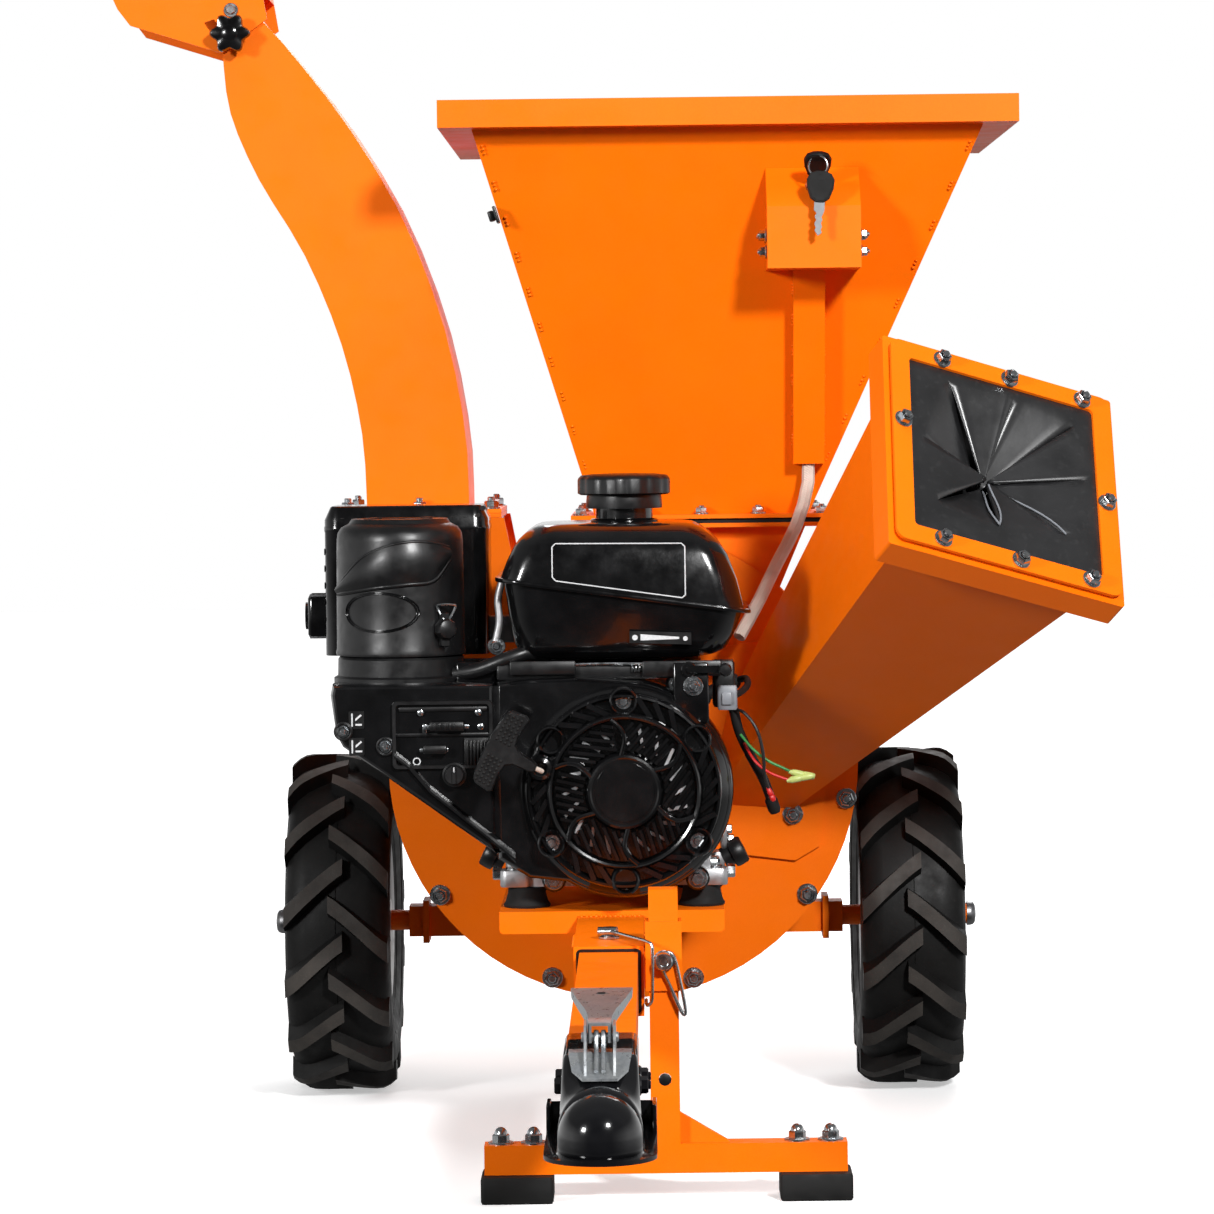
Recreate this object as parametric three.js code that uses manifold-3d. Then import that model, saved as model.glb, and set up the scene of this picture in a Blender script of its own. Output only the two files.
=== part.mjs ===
// A towable wood chipper and shredder, in millimetres, +Z up.
// X runs across the machine, Y from the tow coupler (-Y) to the rear, Z up from the ground.
// The shapes are laid out about the wheel axle, and the finished group is shifted at the end
// so that its origin is the bottom centre of the whole machine.
import * as THREE from "three";
import { ConvexGeometry } from "three/addons/geometries/ConvexGeometry.js";
import { mergeVertices } from "three/addons/utils/BufferGeometryUtils.js";
import Module from "manifold-3d";

const wasm = await Module();
wasm.setup();

// ---- driving dimensions -------------------------------------------------------------------
const GAP = 0.3; // between pieces that rest on each other
const SHEET = 3; // wall of the hopper, chutes and ducts

const WHEEL_R = 168;
const WHEEL_W = 106;
const TRACK_HALF = 280; // axle centre to tyre centre
const RIM_R = 76;
const AXLE_R = 10;

const SHAFT_Z = 332; // crankshaft and rotor height
const DRUM_R = 228; // the two end plates
const BAND_OUT = 209;
const BAND_IN = 205;
const PLATE_T = 6;
const DRUM_FRONT = -130;
const DRUM_REAR = 70;

const NECK = { left: -24, right: 182, front: -112, back: 52, flange: 560.3 };
const FLANGE_T = 4;
const FLANGE_W = 24;
const GASKET_T = 4;
const RIM_TOP = 967;
const RIM_H = 26;
const RIM = { left: -166, right: 379, front: -291, back: 229 };
const RIM_W = 30; // width of the hopper's rim tube

const CHUTE_BASE = new THREE.Vector3(133, DRUM_FRONT, 334);
const CHUTE_MOUTH = new THREE.Vector3(343, -497, 617);
const CHUTE_ACROSS = new THREE.Vector3(0.915, 0.312, -0.264);
const CHUTE_HALF_BASE = 41;
const CHUTE_HALF_MOUTH = 97;
const FRAME_HALF = 116; // mouth frame
const FRAME_DEPTH = 28;
const RETAINER_HALF = 111;
const MOUTH_OPEN_HALF = 93;
const CURTAIN_T = 3;

const DUCT = { front: -95, back: 40, flange: 576 };
const TOW_X = -11;
const TOW_Z = 186; // middle of the receiver and the tongue
const RECEIVER = 60;
const RECEIVER_WALL = 4.5;
const RECEIVER_FRONT = -655;
const TONGUE = 50;
const TONGUE_FRONT = -1300;
const STAND_X = 36;
const STAND_Y = -652;
const STAND_TUBE = 25;
const SLEEVE_TUBE = 31;
const FOOT_BAR = { left: -119, right: 191, low: 23, high: 48 };

const SHELF_TOP = 221;
const ENGINE_BASE = 240;
const ENGINE_X = 3;
const SHROUD_FRONT = -440;
const SHROUD_R = 99;
const COVER_R = 87;

// Shift that puts the origin at the bottom centre of the machine's box.
const BOX_CENTRE = { x: -24.8, y: -581.5 };

// ---- materials ----------------------------------------------------------------------------
function paint(color, roughness, metalness) {
  return new THREE.MeshStandardMaterial({ color, roughness, metalness });
}
const ORANGE = paint(0xff6a00, 0.32, 0.1);
const BLACK_GLOSS = paint(0x0b0b0c, 0.22, 0.0);
const BLACK_SATIN = paint(0x1a1a1c, 0.5, 0.0);
const RUBBER = paint(0x141414, 0.85, 0.0);
const TYRE = paint(0x191918, 0.8, 0.0);
const ZINC = paint(0xb9bcc0, 0.3, 0.9);
const STEEL = paint(0x8d9096, 0.4, 0.9);
const CAST = paint(0x9a9b9c, 0.5, 0.7);
const BRAID = paint(0xcfc8bf, 0.8, 0.0);

// ---- solids -------------------------------------------------------------------------------
function solidOf(geometry) {
  const loose = geometry.index ? geometry.toNonIndexed() : geometry;
  const bare = new THREE.BufferGeometry().setAttribute("position", loose.getAttribute("position"));
  const merged = mergeVertices(bare, 1e-4);
  const vertProperties = merged.attributes.position.array;
  const triVerts = new Uint32Array(merged.index.array);
  const made = new wasm.Manifold(new wasm.Mesh({ numProp: 3, vertProperties, triVerts }));
  if (made.volume() >= 0) return made;
  for (let i = 0; i < triVerts.length; i += 3) {
    [triVerts[i + 1], triVerts[i + 2]] = [triVerts[i + 2], triVerts[i + 1]];
  }
  return new wasm.Manifold(new wasm.Mesh({ numProp: 3, vertProperties, triVerts }));
}

function geometryOf(solid) {
  const mesh = solid.getMesh();
  const position = new Float32Array(mesh.numVert * 3);
  for (let i = 0; i < mesh.numVert; i++) {
    position.set(mesh.vertProperties.subarray(i * mesh.numProp, i * mesh.numProp + 3), i * 3);
  }
  const geometry = new THREE.BufferGeometry();
  geometry.setAttribute("position", new THREE.BufferAttribute(position, 3));
  geometry.setIndex(new THREE.BufferAttribute(mesh.triVerts, 1));
  geometry.computeVertexNormals();
  return geometry;
}

const join = (...solids) => solids.reduce((a, b) => a.add(b));
const cut = (solid, ...tools) => tools.reduce((a, b) => a.subtract(b), solid);

// A box between two corners.
function box(x0, x1, y0, y1, z0, z1) {
  const g = new THREE.BoxGeometry(x1 - x0, y1 - y0, z1 - z0);
  return solidOf(g.translate((x0 + x1) / 2, (y0 + y1) / 2, (z0 + z1) / 2));
}

// A round bar along an axis, between two places on it, centred at the other two coordinates.
function rod(axis, r, from, to, centre, segments = 24) {
  const g = new THREE.CylinderGeometry(r, r, to - from, segments);
  g.translate(0, (from + to) / 2, 0);
  if (axis === "x") g.rotateZ(-Math.PI / 2).translate(0, centre[0], centre[1]);
  if (axis === "y") g.translate(centre[0], 0, centre[1]);
  if (axis === "z") g.rotateX(Math.PI / 2).translate(centre[0], centre[1], 0);
  return solidOf(g);
}

// A flat outline extruded along an axis. Its points are the other two coordinates, in X, Y, Z order.
const BASES = {
  x: new THREE.Matrix4().set(0, 0, 1, 0, 1, 0, 0, 0, 0, 1, 0, 0, 0, 0, 0, 1),
  y: new THREE.Matrix4().set(1, 0, 0, 0, 0, 0, -1, 0, 0, 1, 0, 0, 0, 0, 0, 1),
  z: new THREE.Matrix4(),
};
function prism(axis, outline, from, to, curveSegments = 12) {
  const points = outline instanceof THREE.Shape
    ? outline.getPoints(curveSegments)
    : outline.map(([a, b]) => new THREE.Vector2(a, b));
  const distinct = points.filter((p, i) => p.distanceTo(points[(i + 1) % points.length]) > 1e-3);
  const shape = new THREE.Shape(distinct);
  const g = new THREE.ExtrudeGeometry(shape, { depth: to - from, bevelEnabled: false, curveSegments });
  g.translate(0, 0, axis === "y" ? -to : from).applyMatrix4(BASES[axis]);
  return solidOf(g);
}

// A profile of [radius, height] points turned about Y, then placed with its own +Y along an axis.
function turned(axis, profile, centre, segments = 32) {
  const closed = [...profile, profile[0]].map(([r, h]) => new THREE.Vector2(r, h));
  const g = new THREE.LatheGeometry(closed, segments);
  if (axis === "x") g.rotateZ(-Math.PI / 2);
  if (axis === "z") g.rotateX(Math.PI / 2);
  return solidOf(g.translate(...centre));
}

const asVector = (p) => (p.isVector3 ? p : new THREE.Vector3(...p));
const hull = (points) => solidOf(new ConvexGeometry(points.map(asVector)));

// Four corners of a level rectangle, and the solid between two of them.
const level = (r, z) => [
  [r.left, r.front, z],
  [r.right, r.front, z],
  [r.right, r.back, z],
  [r.left, r.back, z],
];
const grow = (r, by) => ({ left: r.left - by, right: r.right + by, front: r.front - by, back: r.back + by });
const between = (low, zLow, high, zHigh) => hull([...level(low, zLow), ...level(high, zHigh)]);

function roundedRectangle(x0, x1, y0, y1, r) {
  const s = new THREE.Shape();
  s.moveTo(x0 + r, y0);
  s.lineTo(x1 - r, y0).absarc(x1 - r, y0 + r, r, -Math.PI / 2, 0, false);
  s.lineTo(x1, y1 - r).absarc(x1 - r, y1 - r, r, 0, Math.PI / 2, false);
  s.lineTo(x0 + r, y1).absarc(x0 + r, y1 - r, r, Math.PI / 2, Math.PI, false);
  s.lineTo(x0, y0 + r).absarc(x0 + r, y0 + r, r, Math.PI, Math.PI * 1.5, false);
  return s;
}

// A bent wire or tube through points: an ExtrudeGeometry along a curve.
function bentRod(points, r, sides, steps) {
  const curve = new THREE.CatmullRomCurve3(points.map((p) => new THREE.Vector3(...p)), false, "centripetal");
  const section = new THREE.Shape();
  for (let i = 0; i < sides; i++) {
    const a = (2 * Math.PI * i) / sides;
    section[i ? "lineTo" : "moveTo"](r * Math.cos(a), r * Math.sin(a));
  }
  return solidOf(new THREE.ExtrudeGeometry(section, { steps, bevelEnabled: false, extrudePath: curve }));
}

// ---- the group ----------------------------------------------------------------------------
const chipper = new THREE.Group();
chipper.position.set(-BOX_CENTRE.x, -BOX_CENTRE.y, 0);

function add(name, solid, material) {
  const mesh = new THREE.Mesh(geometryOf(solid), material);
  mesh.name = name;
  chipper.add(mesh);
}

// ---- drum: two plates and a band, with throats for the hopper and the discharge ---------------
const drumAxis = [0, SHAFT_Z];
const bandCutter = rod("y", BAND_OUT + GAP, -400, 400, drumAxis, 64);

// Outline of the discharge throat: it leaves the drum upwards on the left.
function throatOutline(inset) {
  return [
    [-212 + inset, 340],
    [-150 - inset, 400],
    [-148 - inset, 480],
    [-148 - inset, 700],
    [-248 + inset, 700],
    [-248 + inset, DUCT.flange],
  ];
}

// The frustum of the hopper's neck between the drum and the flange.
const neckLow = { left: NECK.left, right: 120, front: NECK.front, back: NECK.back };
const neckTop = { left: NECK.left, right: NECK.right, front: NECK.front, back: NECK.back };
const neckBottomZ = 420;
const neckOuter = between(neckLow, neckBottomZ, neckTop, NECK.flange + FLANGE_T);
const neckInner = between(
  grow(neckLow, -SHEET),
  neckBottomZ - 1,
  grow(neckTop, -SHEET),
  NECK.flange + FLANGE_T + 1,
);

function drumPlate(yFront) {
  const earOutline = [[-262, 470], [-262, 560], [-250, 572], [-113, 572], [-103, 520], [-150, 470]];
  const ear = prism("y", earOutline, yFront, yFront + PLATE_T);
  return join(rod("y", DRUM_R, yFront, yFront + PLATE_T, drumAxis, 72), ear);
}

// ---- chipper chute frame of reference ------------------------------------------------------
const chuteAlong = new THREE.Vector3().subVectors(CHUTE_MOUTH, CHUTE_BASE).normalize();
const chuteAcross = CHUTE_ACROSS.clone()
  .addScaledVector(chuteAlong, -CHUTE_ACROSS.dot(chuteAlong))
  .normalize();
const chuteUp = new THREE.Vector3().crossVectors(chuteAcross, chuteAlong).negate();
const chuteLength = CHUTE_MOUTH.distanceTo(CHUTE_BASE);
const chuteFrame = new THREE.Matrix4().makeBasis(chuteAcross, chuteUp, chuteAlong.clone());
chuteFrame.setPosition(CHUTE_BASE);

function alongChute(solid) {
  return solid.transform(chuteFrame.toArray());
}
const square = (half, z) => level({ left: -half, right: half, front: -half, back: half }, z);
const chuteTaper = (CHUTE_HALF_MOUTH - CHUTE_HALF_BASE) / chuteLength;
const CHUTE_OVERRUN = 90;

function chuteFrustum(inset) {
  const low = CHUTE_HALF_BASE - chuteTaper * CHUTE_OVERRUN - inset;
  const high = CHUTE_HALF_MOUTH - inset;
  return alongChute(hull([...square(low, -CHUTE_OVERRUN), ...square(high, chuteLength + inset)]));
}
const chuteInner = chuteFrustum(SHEET);

add(
  "drum_front_plate",
  cut(drumPlate(DRUM_FRONT), chuteInner, rod("y", 30, -140, -110, drumAxis, 24)),
  ORANGE,
);
add("drum_rear_plate", cut(drumPlate(DRUM_REAR - PLATE_T), rod("y", 27, 50, 90, drumAxis, 24)), ORANGE);

const bandFrom = DRUM_FRONT + PLATE_T + GAP;
const bandTo = DRUM_REAR - PLATE_T - GAP;
add(
  "drum_band",
  cut(
    rod("y", BAND_OUT, bandFrom, bandTo, drumAxis, 64),
    rod("y", BAND_IN, -400, 400, drumAxis, 64),
    neckInner,
    prism("y", throatOutline(SHEET), DUCT.front + SHEET, DUCT.back - SHEET),
  ),
  ORANGE,
);

// Rear bearing housing, bolted outside the rear plate.
const bearingFlange = roundedRectangle(-52, 52, SHAFT_Z - 52, SHAFT_Z + 52, 14);
add(
  "bearing_housing",
  cut(
    join(
      prism("y", bearingFlange, DRUM_REAR + GAP, DRUM_REAR + 10, 4),
      rod("y", 38, DRUM_REAR + GAP, DRUM_REAR + 34, drumAxis, 32),
    ),
    rod("y", 17.5, 0, 200, drumAxis, 32),
  ),
  CAST,
);

// ---- rotor: crankshaft, disc, knives and swinging hammers -----------------------------------
const DISC_FRONT = -96;
const DISC_T = 14;
const HAMMER_PIN_R = 138;
add(
  "crankshaft",
  join(
    rod("y", 12, -436, -190, drumAxis, 16),
    rod("y", 25, -192, -142, drumAxis, 24),
    rod("y", 17, -142, 112, drumAxis, 24),
  ),
  STEEL,
);
// A chipping knife on the disc's front face, on one side of the shaft.
function knife(side) {
  const blade = [[-20, 1], [-20, -3], [4, -3], [20, -8], [20, 1]];
  const outline = blade.map(([a, y]) => [DISC_FRONT + y, SHAFT_Z + side * a]);
  return prism("x", side > 0 ? outline : outline.reverse(), side * 110 - 46, side * 110 + 46);
}
add(
  "rotor_disc",
  cut(
    join(
      rod("y", 186, DISC_FRONT, DISC_FRONT + DISC_T, drumAxis, 36),
      rod("y", 34, DISC_FRONT, 40, drumAxis, 24),
      prism("y", roundedRectangle(-30, 30, SHAFT_Z - 168, SHAFT_Z + 168, 20), 24, 32, 4),
      rod("y", 9, DISC_FRONT, 32, [0, SHAFT_Z + HAMMER_PIN_R], 12),
      rod("y", 9, DISC_FRONT, 32, [0, SHAFT_Z - HAMMER_PIN_R], 12),
      knife(1),
      knife(-1),
    ),
    rod("y", 17 + GAP, -400, 400, drumAxis, 24),
  ),
  STEEL,
);
for (const [name, side] of [["hammer_upper", 1], ["hammer_lower", -1]]) {
  const z = SHAFT_Z + side * HAMMER_PIN_R;
  const plate = (y) => prism("y", roundedRectangle(-16, 16, z - 46, z + 14, 10), y, y + 8, 2);
  add(
    name,
    cut(
      join(plate(-70), plate(-31), plate(8), rod("y", 14, -70, 16, [0, z], 12)),
      rod("y", 9.6, -200, 200, [0, z], 12),
    ),
    STEEL,
  );
}

// ---- feed hopper ------------------------------------------------------------------------
const neckFlange = { ...grow(neckTop, FLANGE_W) };
add(
  "hopper_neck",
  cut(
    join(neckOuter, between(neckFlange, NECK.flange, neckFlange, NECK.flange + FLANGE_T)),
    neckInner,
    bandCutter,
  ),
  ORANGE,
);
const gasketLow = NECK.flange + FLANGE_T + GAP;
add(
  "hopper_gasket",
  cut(
    between(grow(neckFlange, -4), gasketLow, grow(neckFlange, -4), gasketLow + GASKET_T),
    between(grow(neckTop, -SHEET), gasketLow - 1, grow(neckTop, -SHEET), gasketLow + 9),
  ),
  RUBBER,
);
const hopperLow = gasketLow + GASKET_T + GAP;
const hopperTop = grow(RIM, -RIM_W);
const hopperInner = join(
  between(grow(neckTop, -SHEET), hopperLow - 1, grow(hopperTop, -SHEET), RIM_TOP - RIM_H + 3),
  between(grow(hopperTop, -SHEET), RIM_TOP - RIM_H + 3, grow(hopperTop, -SHEET), RIM_TOP + 1),
);
add(
  "hopper",
  cut(
    join(
      between(neckTop, hopperLow, hopperTop, RIM_TOP - RIM_H + 3),
      between(neckFlange, hopperLow, neckFlange, hopperLow + FLANGE_T),
      between(RIM, RIM_TOP - RIM_H, RIM, RIM_TOP),
    ),
    hopperInner,
  ),
  ORANGE,
);

// ---- chipper chute, its flap curtain and the plate that clamps it ------------------------------
const mouthBlock = (half, from, to, r) =>
  alongChute(prism("z", roundedRectangle(-half, half, -half, half, r), from, to, 5));
const chutePlate = prism(
  "y",
  [[38, 252], [166, 236], [190, 250], [196, 300], [206, 420], [150, 452], [70, 440], [38, 400]],
  DRUM_FRONT - GAP - 4,
  DRUM_FRONT - GAP,
);
add(
  "chipper_chute",
  cut(
    join(
      cut(chuteFrustum(0), box(-600, 600, DRUM_FRONT - GAP, 400, -600, 1200)),
      chutePlate,
      mouthBlock(FRAME_HALF, chuteLength - FRAME_DEPTH, chuteLength, 3),
    ),
    chuteInner,
    rod("y", 34, -300, 0, drumAxis, 24),
  ),
  ORANGE,
);
const SLITS = 8;
const slits = [];
for (let i = 0; i < SLITS; i++) {
  const slit = box(6, 86, -0.8, 0.8, -5, 9).rotate([0, 0, (360 * (i + 0.5)) / SLITS]);
  slits.push(alongChute(slit.translate([0, 0, chuteLength])));
}
const curtainFrom = chuteLength + GAP;
add(
  "flap_curtain",
  cut(
    mouthBlock(RETAINER_HALF, curtainFrom, curtainFrom + CURTAIN_T, 10),
    alongChute(rod("z", 7, curtainFrom - 5, curtainFrom + 9, [0, 0], 16)),
    ...slits,
  ),
  RUBBER,
);
const retainerFrom = curtainFrom + CURTAIN_T + GAP;
add(
  "flap_retainer",
  cut(
    mouthBlock(RETAINER_HALF, retainerFrom, retainerFrom + SHEET, 10),
    mouthBlock(MOUTH_OPEN_HALF, retainerFrom - 1, retainerFrom + SHEET + 1, 4),
  ),
  ORANGE,
);

// ---- discharge: collar on the drum, curved chute, tilting deflector and its knob ---------------
const ductFlange = { left: -274, right: -116, front: DUCT.front - 22, back: DUCT.back + 22 };
const collarTop = DUCT.flange;
const collarHole = prism("y", throatOutline(SHEET), DUCT.front + SHEET, DUCT.back - SHEET);
const belowCollarTop = box(-600, 600, -600, 600, -600, collarTop);
add(
  "discharge_collar",
  cut(
    join(
      cut(prism("y", throatOutline(0), DUCT.front, DUCT.back), bandCutter).intersect(belowCollarTop),
      between(ductFlange, collarTop - FLANGE_T, ductFlange, collarTop),
    ),
    collarHole,
  ),
  ORANGE,
);

// The two edges of the curved chute, from its flange to its outlet: [x, z].
const DUCT_OUTER = [
  [-148, 577], [-151, 656], [-171, 760], [-211, 868], [-267, 963], [-324, 1037], [-350, 1066], [-364, 1094],
];
const DUCT_INNER = [
  [-248, 577], [-252, 654], [-271, 742], [-306, 830], [-350, 905], [-377, 970], [-384, 1027],
];
const toCurve = (points) => new THREE.SplineCurve(points.map(([x, z]) => new THREE.Vector2(x, z)));
const outerEdge = toCurve(DUCT_OUTER).getPoints(18);
const innerEdge = toCurve(DUCT_INNER).getPoints(18);
// The edge moved sideways by a distance, to the left of its direction.
function offset(edge, by) {
  return edge.map((p, i) => {
    const a = edge[Math.max(i - 1, 0)];
    const b = edge[Math.min(i + 1, edge.length - 1)];
    const t = new THREE.Vector2().subVectors(b, a).normalize();
    return new THREE.Vector2(p.x - t.y * by, p.y + t.x * by);
  });
}
const ductOutline = (outer, inner, extra) =>
  new THREE.Shape([...outer, ...extra, ...inner.slice().reverse()]);
const ductLow = collarTop + GAP;
const ductHole = prism(
  "y",
  ductOutline(
    [new THREE.Vector2(-151, 560), ...offset(outerEdge, SHEET)],
    [new THREE.Vector2(-245, 560), ...offset(innerEdge, -SHEET)],
    [new THREE.Vector2(-420, 1100), new THREE.Vector2(-420, 1040)],
  ),
  DUCT.front + SHEET,
  DUCT.back - SHEET,
);
add(
  "discharge_chute",
  cut(
    join(
      prism("y", ductOutline(outerEdge, innerEdge, []), DUCT.front, DUCT.back),
      between(ductFlange, ductLow, ductFlange, ductLow + FLANGE_T),
    ),
    ductHole,
  ).intersect(box(-600, 600, -600, 600, ductLow, 1300)),
  ORANGE,
);

// The deflector: a hood of two side plates and a top, which tilts about a bolt in its cheeks.
const TILT_PIVOT = [-375, 1071];
const KNOB_DROP = 24;
const DEFLECTOR_GAP = 1.5;
const hood = [
  [-340, 1062], [-385, 1029], [-474, 1057], [-486, 1073],
  [-500, 1104], [-488, 1112], [-380, 1112], [-346, 1098],
];
const hoodInside = [
  [-330, 990], [-430, 990], [-520, 1040], [-520, 1090],
  [-487, 1109], [-380, 1109], [-349, 1096], [-330, 1064],
];
const slotRing = cut(
  rod("y", KNOB_DROP + 5, -140, -60, TILT_PIVOT, 32),
  rod("y", KNOB_DROP - 5, -141, -59, TILT_PIVOT, 32),
);
const slotSector = prism("y", [[-367, 1071], [-367, 1030], [-420, 1030], [-410, 1056]], -140, -60);
add(
  "deflector",
  cut(
    prism("y", hood, DUCT.front - DEFLECTOR_GAP - SHEET, DUCT.back + DEFLECTOR_GAP + SHEET),
    prism("y", hoodInside, DUCT.front - DEFLECTOR_GAP, DUCT.back + DEFLECTOR_GAP),
    slotRing.intersect(slotSector),
  ),
  ORANGE,
);
const knobAt = [TILT_PIVOT[0], TILT_PIVOT[1] - KNOB_DROP];
const star = new THREE.Shape();
const LOBES = 6;
for (let i = 0; i < LOBES * 4; i++) {
  const a = (2 * Math.PI * i) / (LOBES * 4);
  const r = 15.5 + 2.5 * Math.cos(LOBES * a);
  star[i ? "lineTo" : "moveTo"](knobAt[0] + r * Math.cos(a), knobAt[1] + r * Math.sin(a));
}
add(
  "deflector_knob",
  join(
    prism("y", star, -122, -108),
    rod("y", 9, -109, DUCT.front - DEFLECTOR_GAP - SHEET - GAP, knobAt, 12),
    rod("y", 4, -101, DUCT.front - GAP, knobAt, 12),
  ),
  BLACK_GLOSS,
);

// ---- wheels --------------------------------------------------------------------------------
const axleAt = [0, WHEEL_R];
for (const [side, word] of [[-1, "left"], [1, "right"]]) {
  const x = side * TRACK_HALF;
  const from = (a, b) => [Math.min(side * a, side * b), Math.max(side * a, side * b)];
  const bar = (half, a, b) => box(...from(a, b), -half, half, WHEEL_R - half, WHEEL_R + half);
  add(
    "stub_axle_" + word,
    cut(
      join(bar(15, 110, 216), bar(21, 196, 202), rod("x", AXLE_R, ...from(210, 347), axleAt, 20)),
      bandCutter,
    ),
    ORANGE,
  );
  const rimLoop = [
    [AXLE_R + 0.5, -46], [22, -46], [22, -3], [RIM_R - 9, -3], [RIM_R - 9, -34], [RIM_R - 5, -42],
    [RIM_R + 9, -45], [RIM_R + 9, -41.5], [RIM_R - 2, -38], [RIM_R - 5, -32],
    [RIM_R - 5, 32], [RIM_R - 2, 38],
    [RIM_R + 9, 41.5], [RIM_R + 9, 45], [RIM_R - 5, 42], [RIM_R - 9, 34], [RIM_R - 9, 3], [22, 3],
    [22, 46], [AXLE_R + 0.5, 46],
  ];
  add("rim_" + word, turned("x", rimLoop, [x, 0, WHEEL_R], 24), ZINC);
  const half = WHEEL_W / 2;
  const tyreLoop = [
    [RIM_R + 1, -36], [RIM_R + 16, -41], [116, -half], [148, -half + 2], [162, -half + 14],
    [WHEEL_R, -26], [WHEEL_R, 26], [162, half - 14], [148, half - 2], [116, half],
    [RIM_R + 16, 41], [RIM_R + 1, 36], [RIM_R + 1, 28], [116, half - 12], [146, 30],
    [146, -30], [116, -half + 12], [RIM_R + 1, -28],
  ];
  add("tyre_" + word, turned("x", tyreLoop, [x, 0, WHEEL_R], 32), TYRE);
}

// ---- tow bar: receiver, tongue, coupler, lever, pin -------------------------------------------
const tubeEnd = (half, y0, y1) => box(TOW_X - half, TOW_X + half, y0, y1, TOW_Z - half, TOW_Z + half);
const pinY = -598;
const towPinHole = (r) => rod("z", r, 100, 300, [TOW_X, pinY], 16);
const receiverInner = RECEIVER / 2 - RECEIVER_WALL;
add(
  "tow_receiver",
  cut(
    tubeEnd(RECEIVER / 2, RECEIVER_FRONT, DRUM_FRONT - GAP),
    tubeEnd(receiverInner, RECEIVER_FRONT - 1, DRUM_FRONT - 20),
    towPinHole(6.6),
  ),
  ORANGE,
);
add(
  "tow_tongue",
  cut(
    tubeEnd(TONGUE / 2, TONGUE_FRONT, -520),
    tubeEnd(TONGUE / 2 - 3, TONGUE_FRONT - 1, -519),
    towPinHole(6.6),
  ),
  ORANGE,
);
const couplerSection = (grown) => {
  const w = TONGUE / 2 + grown;
  const low = TOW_Z - 36;
  const high = TOW_Z + TONGUE / 2 + grown;
  return [[TOW_X - w, low], [TOW_X + w, low], [TOW_X + w, high], [TOW_X - w, high]];
};
const NOSE_Y = -1392;
const ballY = -1358;
const ballZ = 166;
const sphereAt = (r) => solidOf(new THREE.SphereGeometry(r, 20, 12).translate(TOW_X, ballY, ballZ));
const couplerSkirt = prism("z", roundedRectangle(TOW_X - 40, TOW_X + 40, NOSE_Y, -1230, 30), 150, 154, 4);
add(
  "coupler",
  cut(
    join(
      prism("y", couplerSection(4.5), -1330, -1190),
      cut(sphereAt(30), box(-200, 200, -1500, -1200, 0, 150)),
      rod("z", 30, 150, ballZ, [TOW_X, ballY], 20),
      couplerSkirt,
    ),
    prism("y", couplerSection(GAP), -1312, -1180),
    cut(sphereAt(26), box(-200, 200, -1500, -1200, 0, 150)),
    rod("z", 26, 140, ballZ, [TOW_X, ballY], 20),
    tubeEnd(TONGUE / 2 + GAP, -1318, -1100),
  ),
  BLACK_GLOSS,
);
const LEVER_PIVOT = [-1296, 227];
const couplerTop = TOW_Z + TONGUE / 2 + 4.5 + GAP;
const bracketSide = (x) =>
  prism("x", [[-1312, couplerTop], [-1276, couplerTop], [-1284, 235], [-1306, 235]], x, x + 2.5);
add(
  "lever_bracket",
  join(
    box(TOW_X - 22, TOW_X + 22, -1316, -1262, couplerTop, couplerTop + 2),
    bracketSide(TOW_X - 12.5),
    bracketSide(TOW_X + 10),
    rod("x", 4, TOW_X - 11, TOW_X + 11, LEVER_PIVOT, 12),
  ),
  ZINC,
);
const leverArm = [
  [-1296, 235], [-1296, 222], [-1204, 222], [-1160, 240], [-1161, 244], [-1206, 229], [-1240, 234],
];
const LEVER_BORE_R = 4.6;
const TAIL = { narrow: 9, wide: 24, root: [-1206, 224], tip: [-1158, 242], thick: 3 };
const tailPoint = (half, [y, z], lift) => [[TOW_X - half, y, z + lift], [TOW_X + half, y, z + lift]];
add(
  "coupler_lever",
  cut(
    join(
      prism("x", leverArm, TOW_X - 9, TOW_X + 9),
      rod("x", 8, TOW_X - 9, TOW_X + 9, LEVER_PIVOT, 16),
      hull([
        ...tailPoint(TAIL.narrow, TAIL.root, 0),
        ...tailPoint(TAIL.narrow, TAIL.root, TAIL.thick),
        ...tailPoint(TAIL.wide, TAIL.tip, 0),
        ...tailPoint(TAIL.wide, TAIL.tip, TAIL.thick),
      ]),
    ),
    rod("x", LEVER_BORE_R, TOW_X - 30, TOW_X + 30, LEVER_PIVOT, 12),
  ),
  ZINC,
);
add(
  "tow_pin",
  join(
    rod("z", 6, 148, 222, [TOW_X, pinY], 16),
    rod("z", 8.5, TOW_Z + RECEIVER / 2 + GAP, 228, [TOW_X, pinY], 6),
  ),
  ZINC,
);

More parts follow.
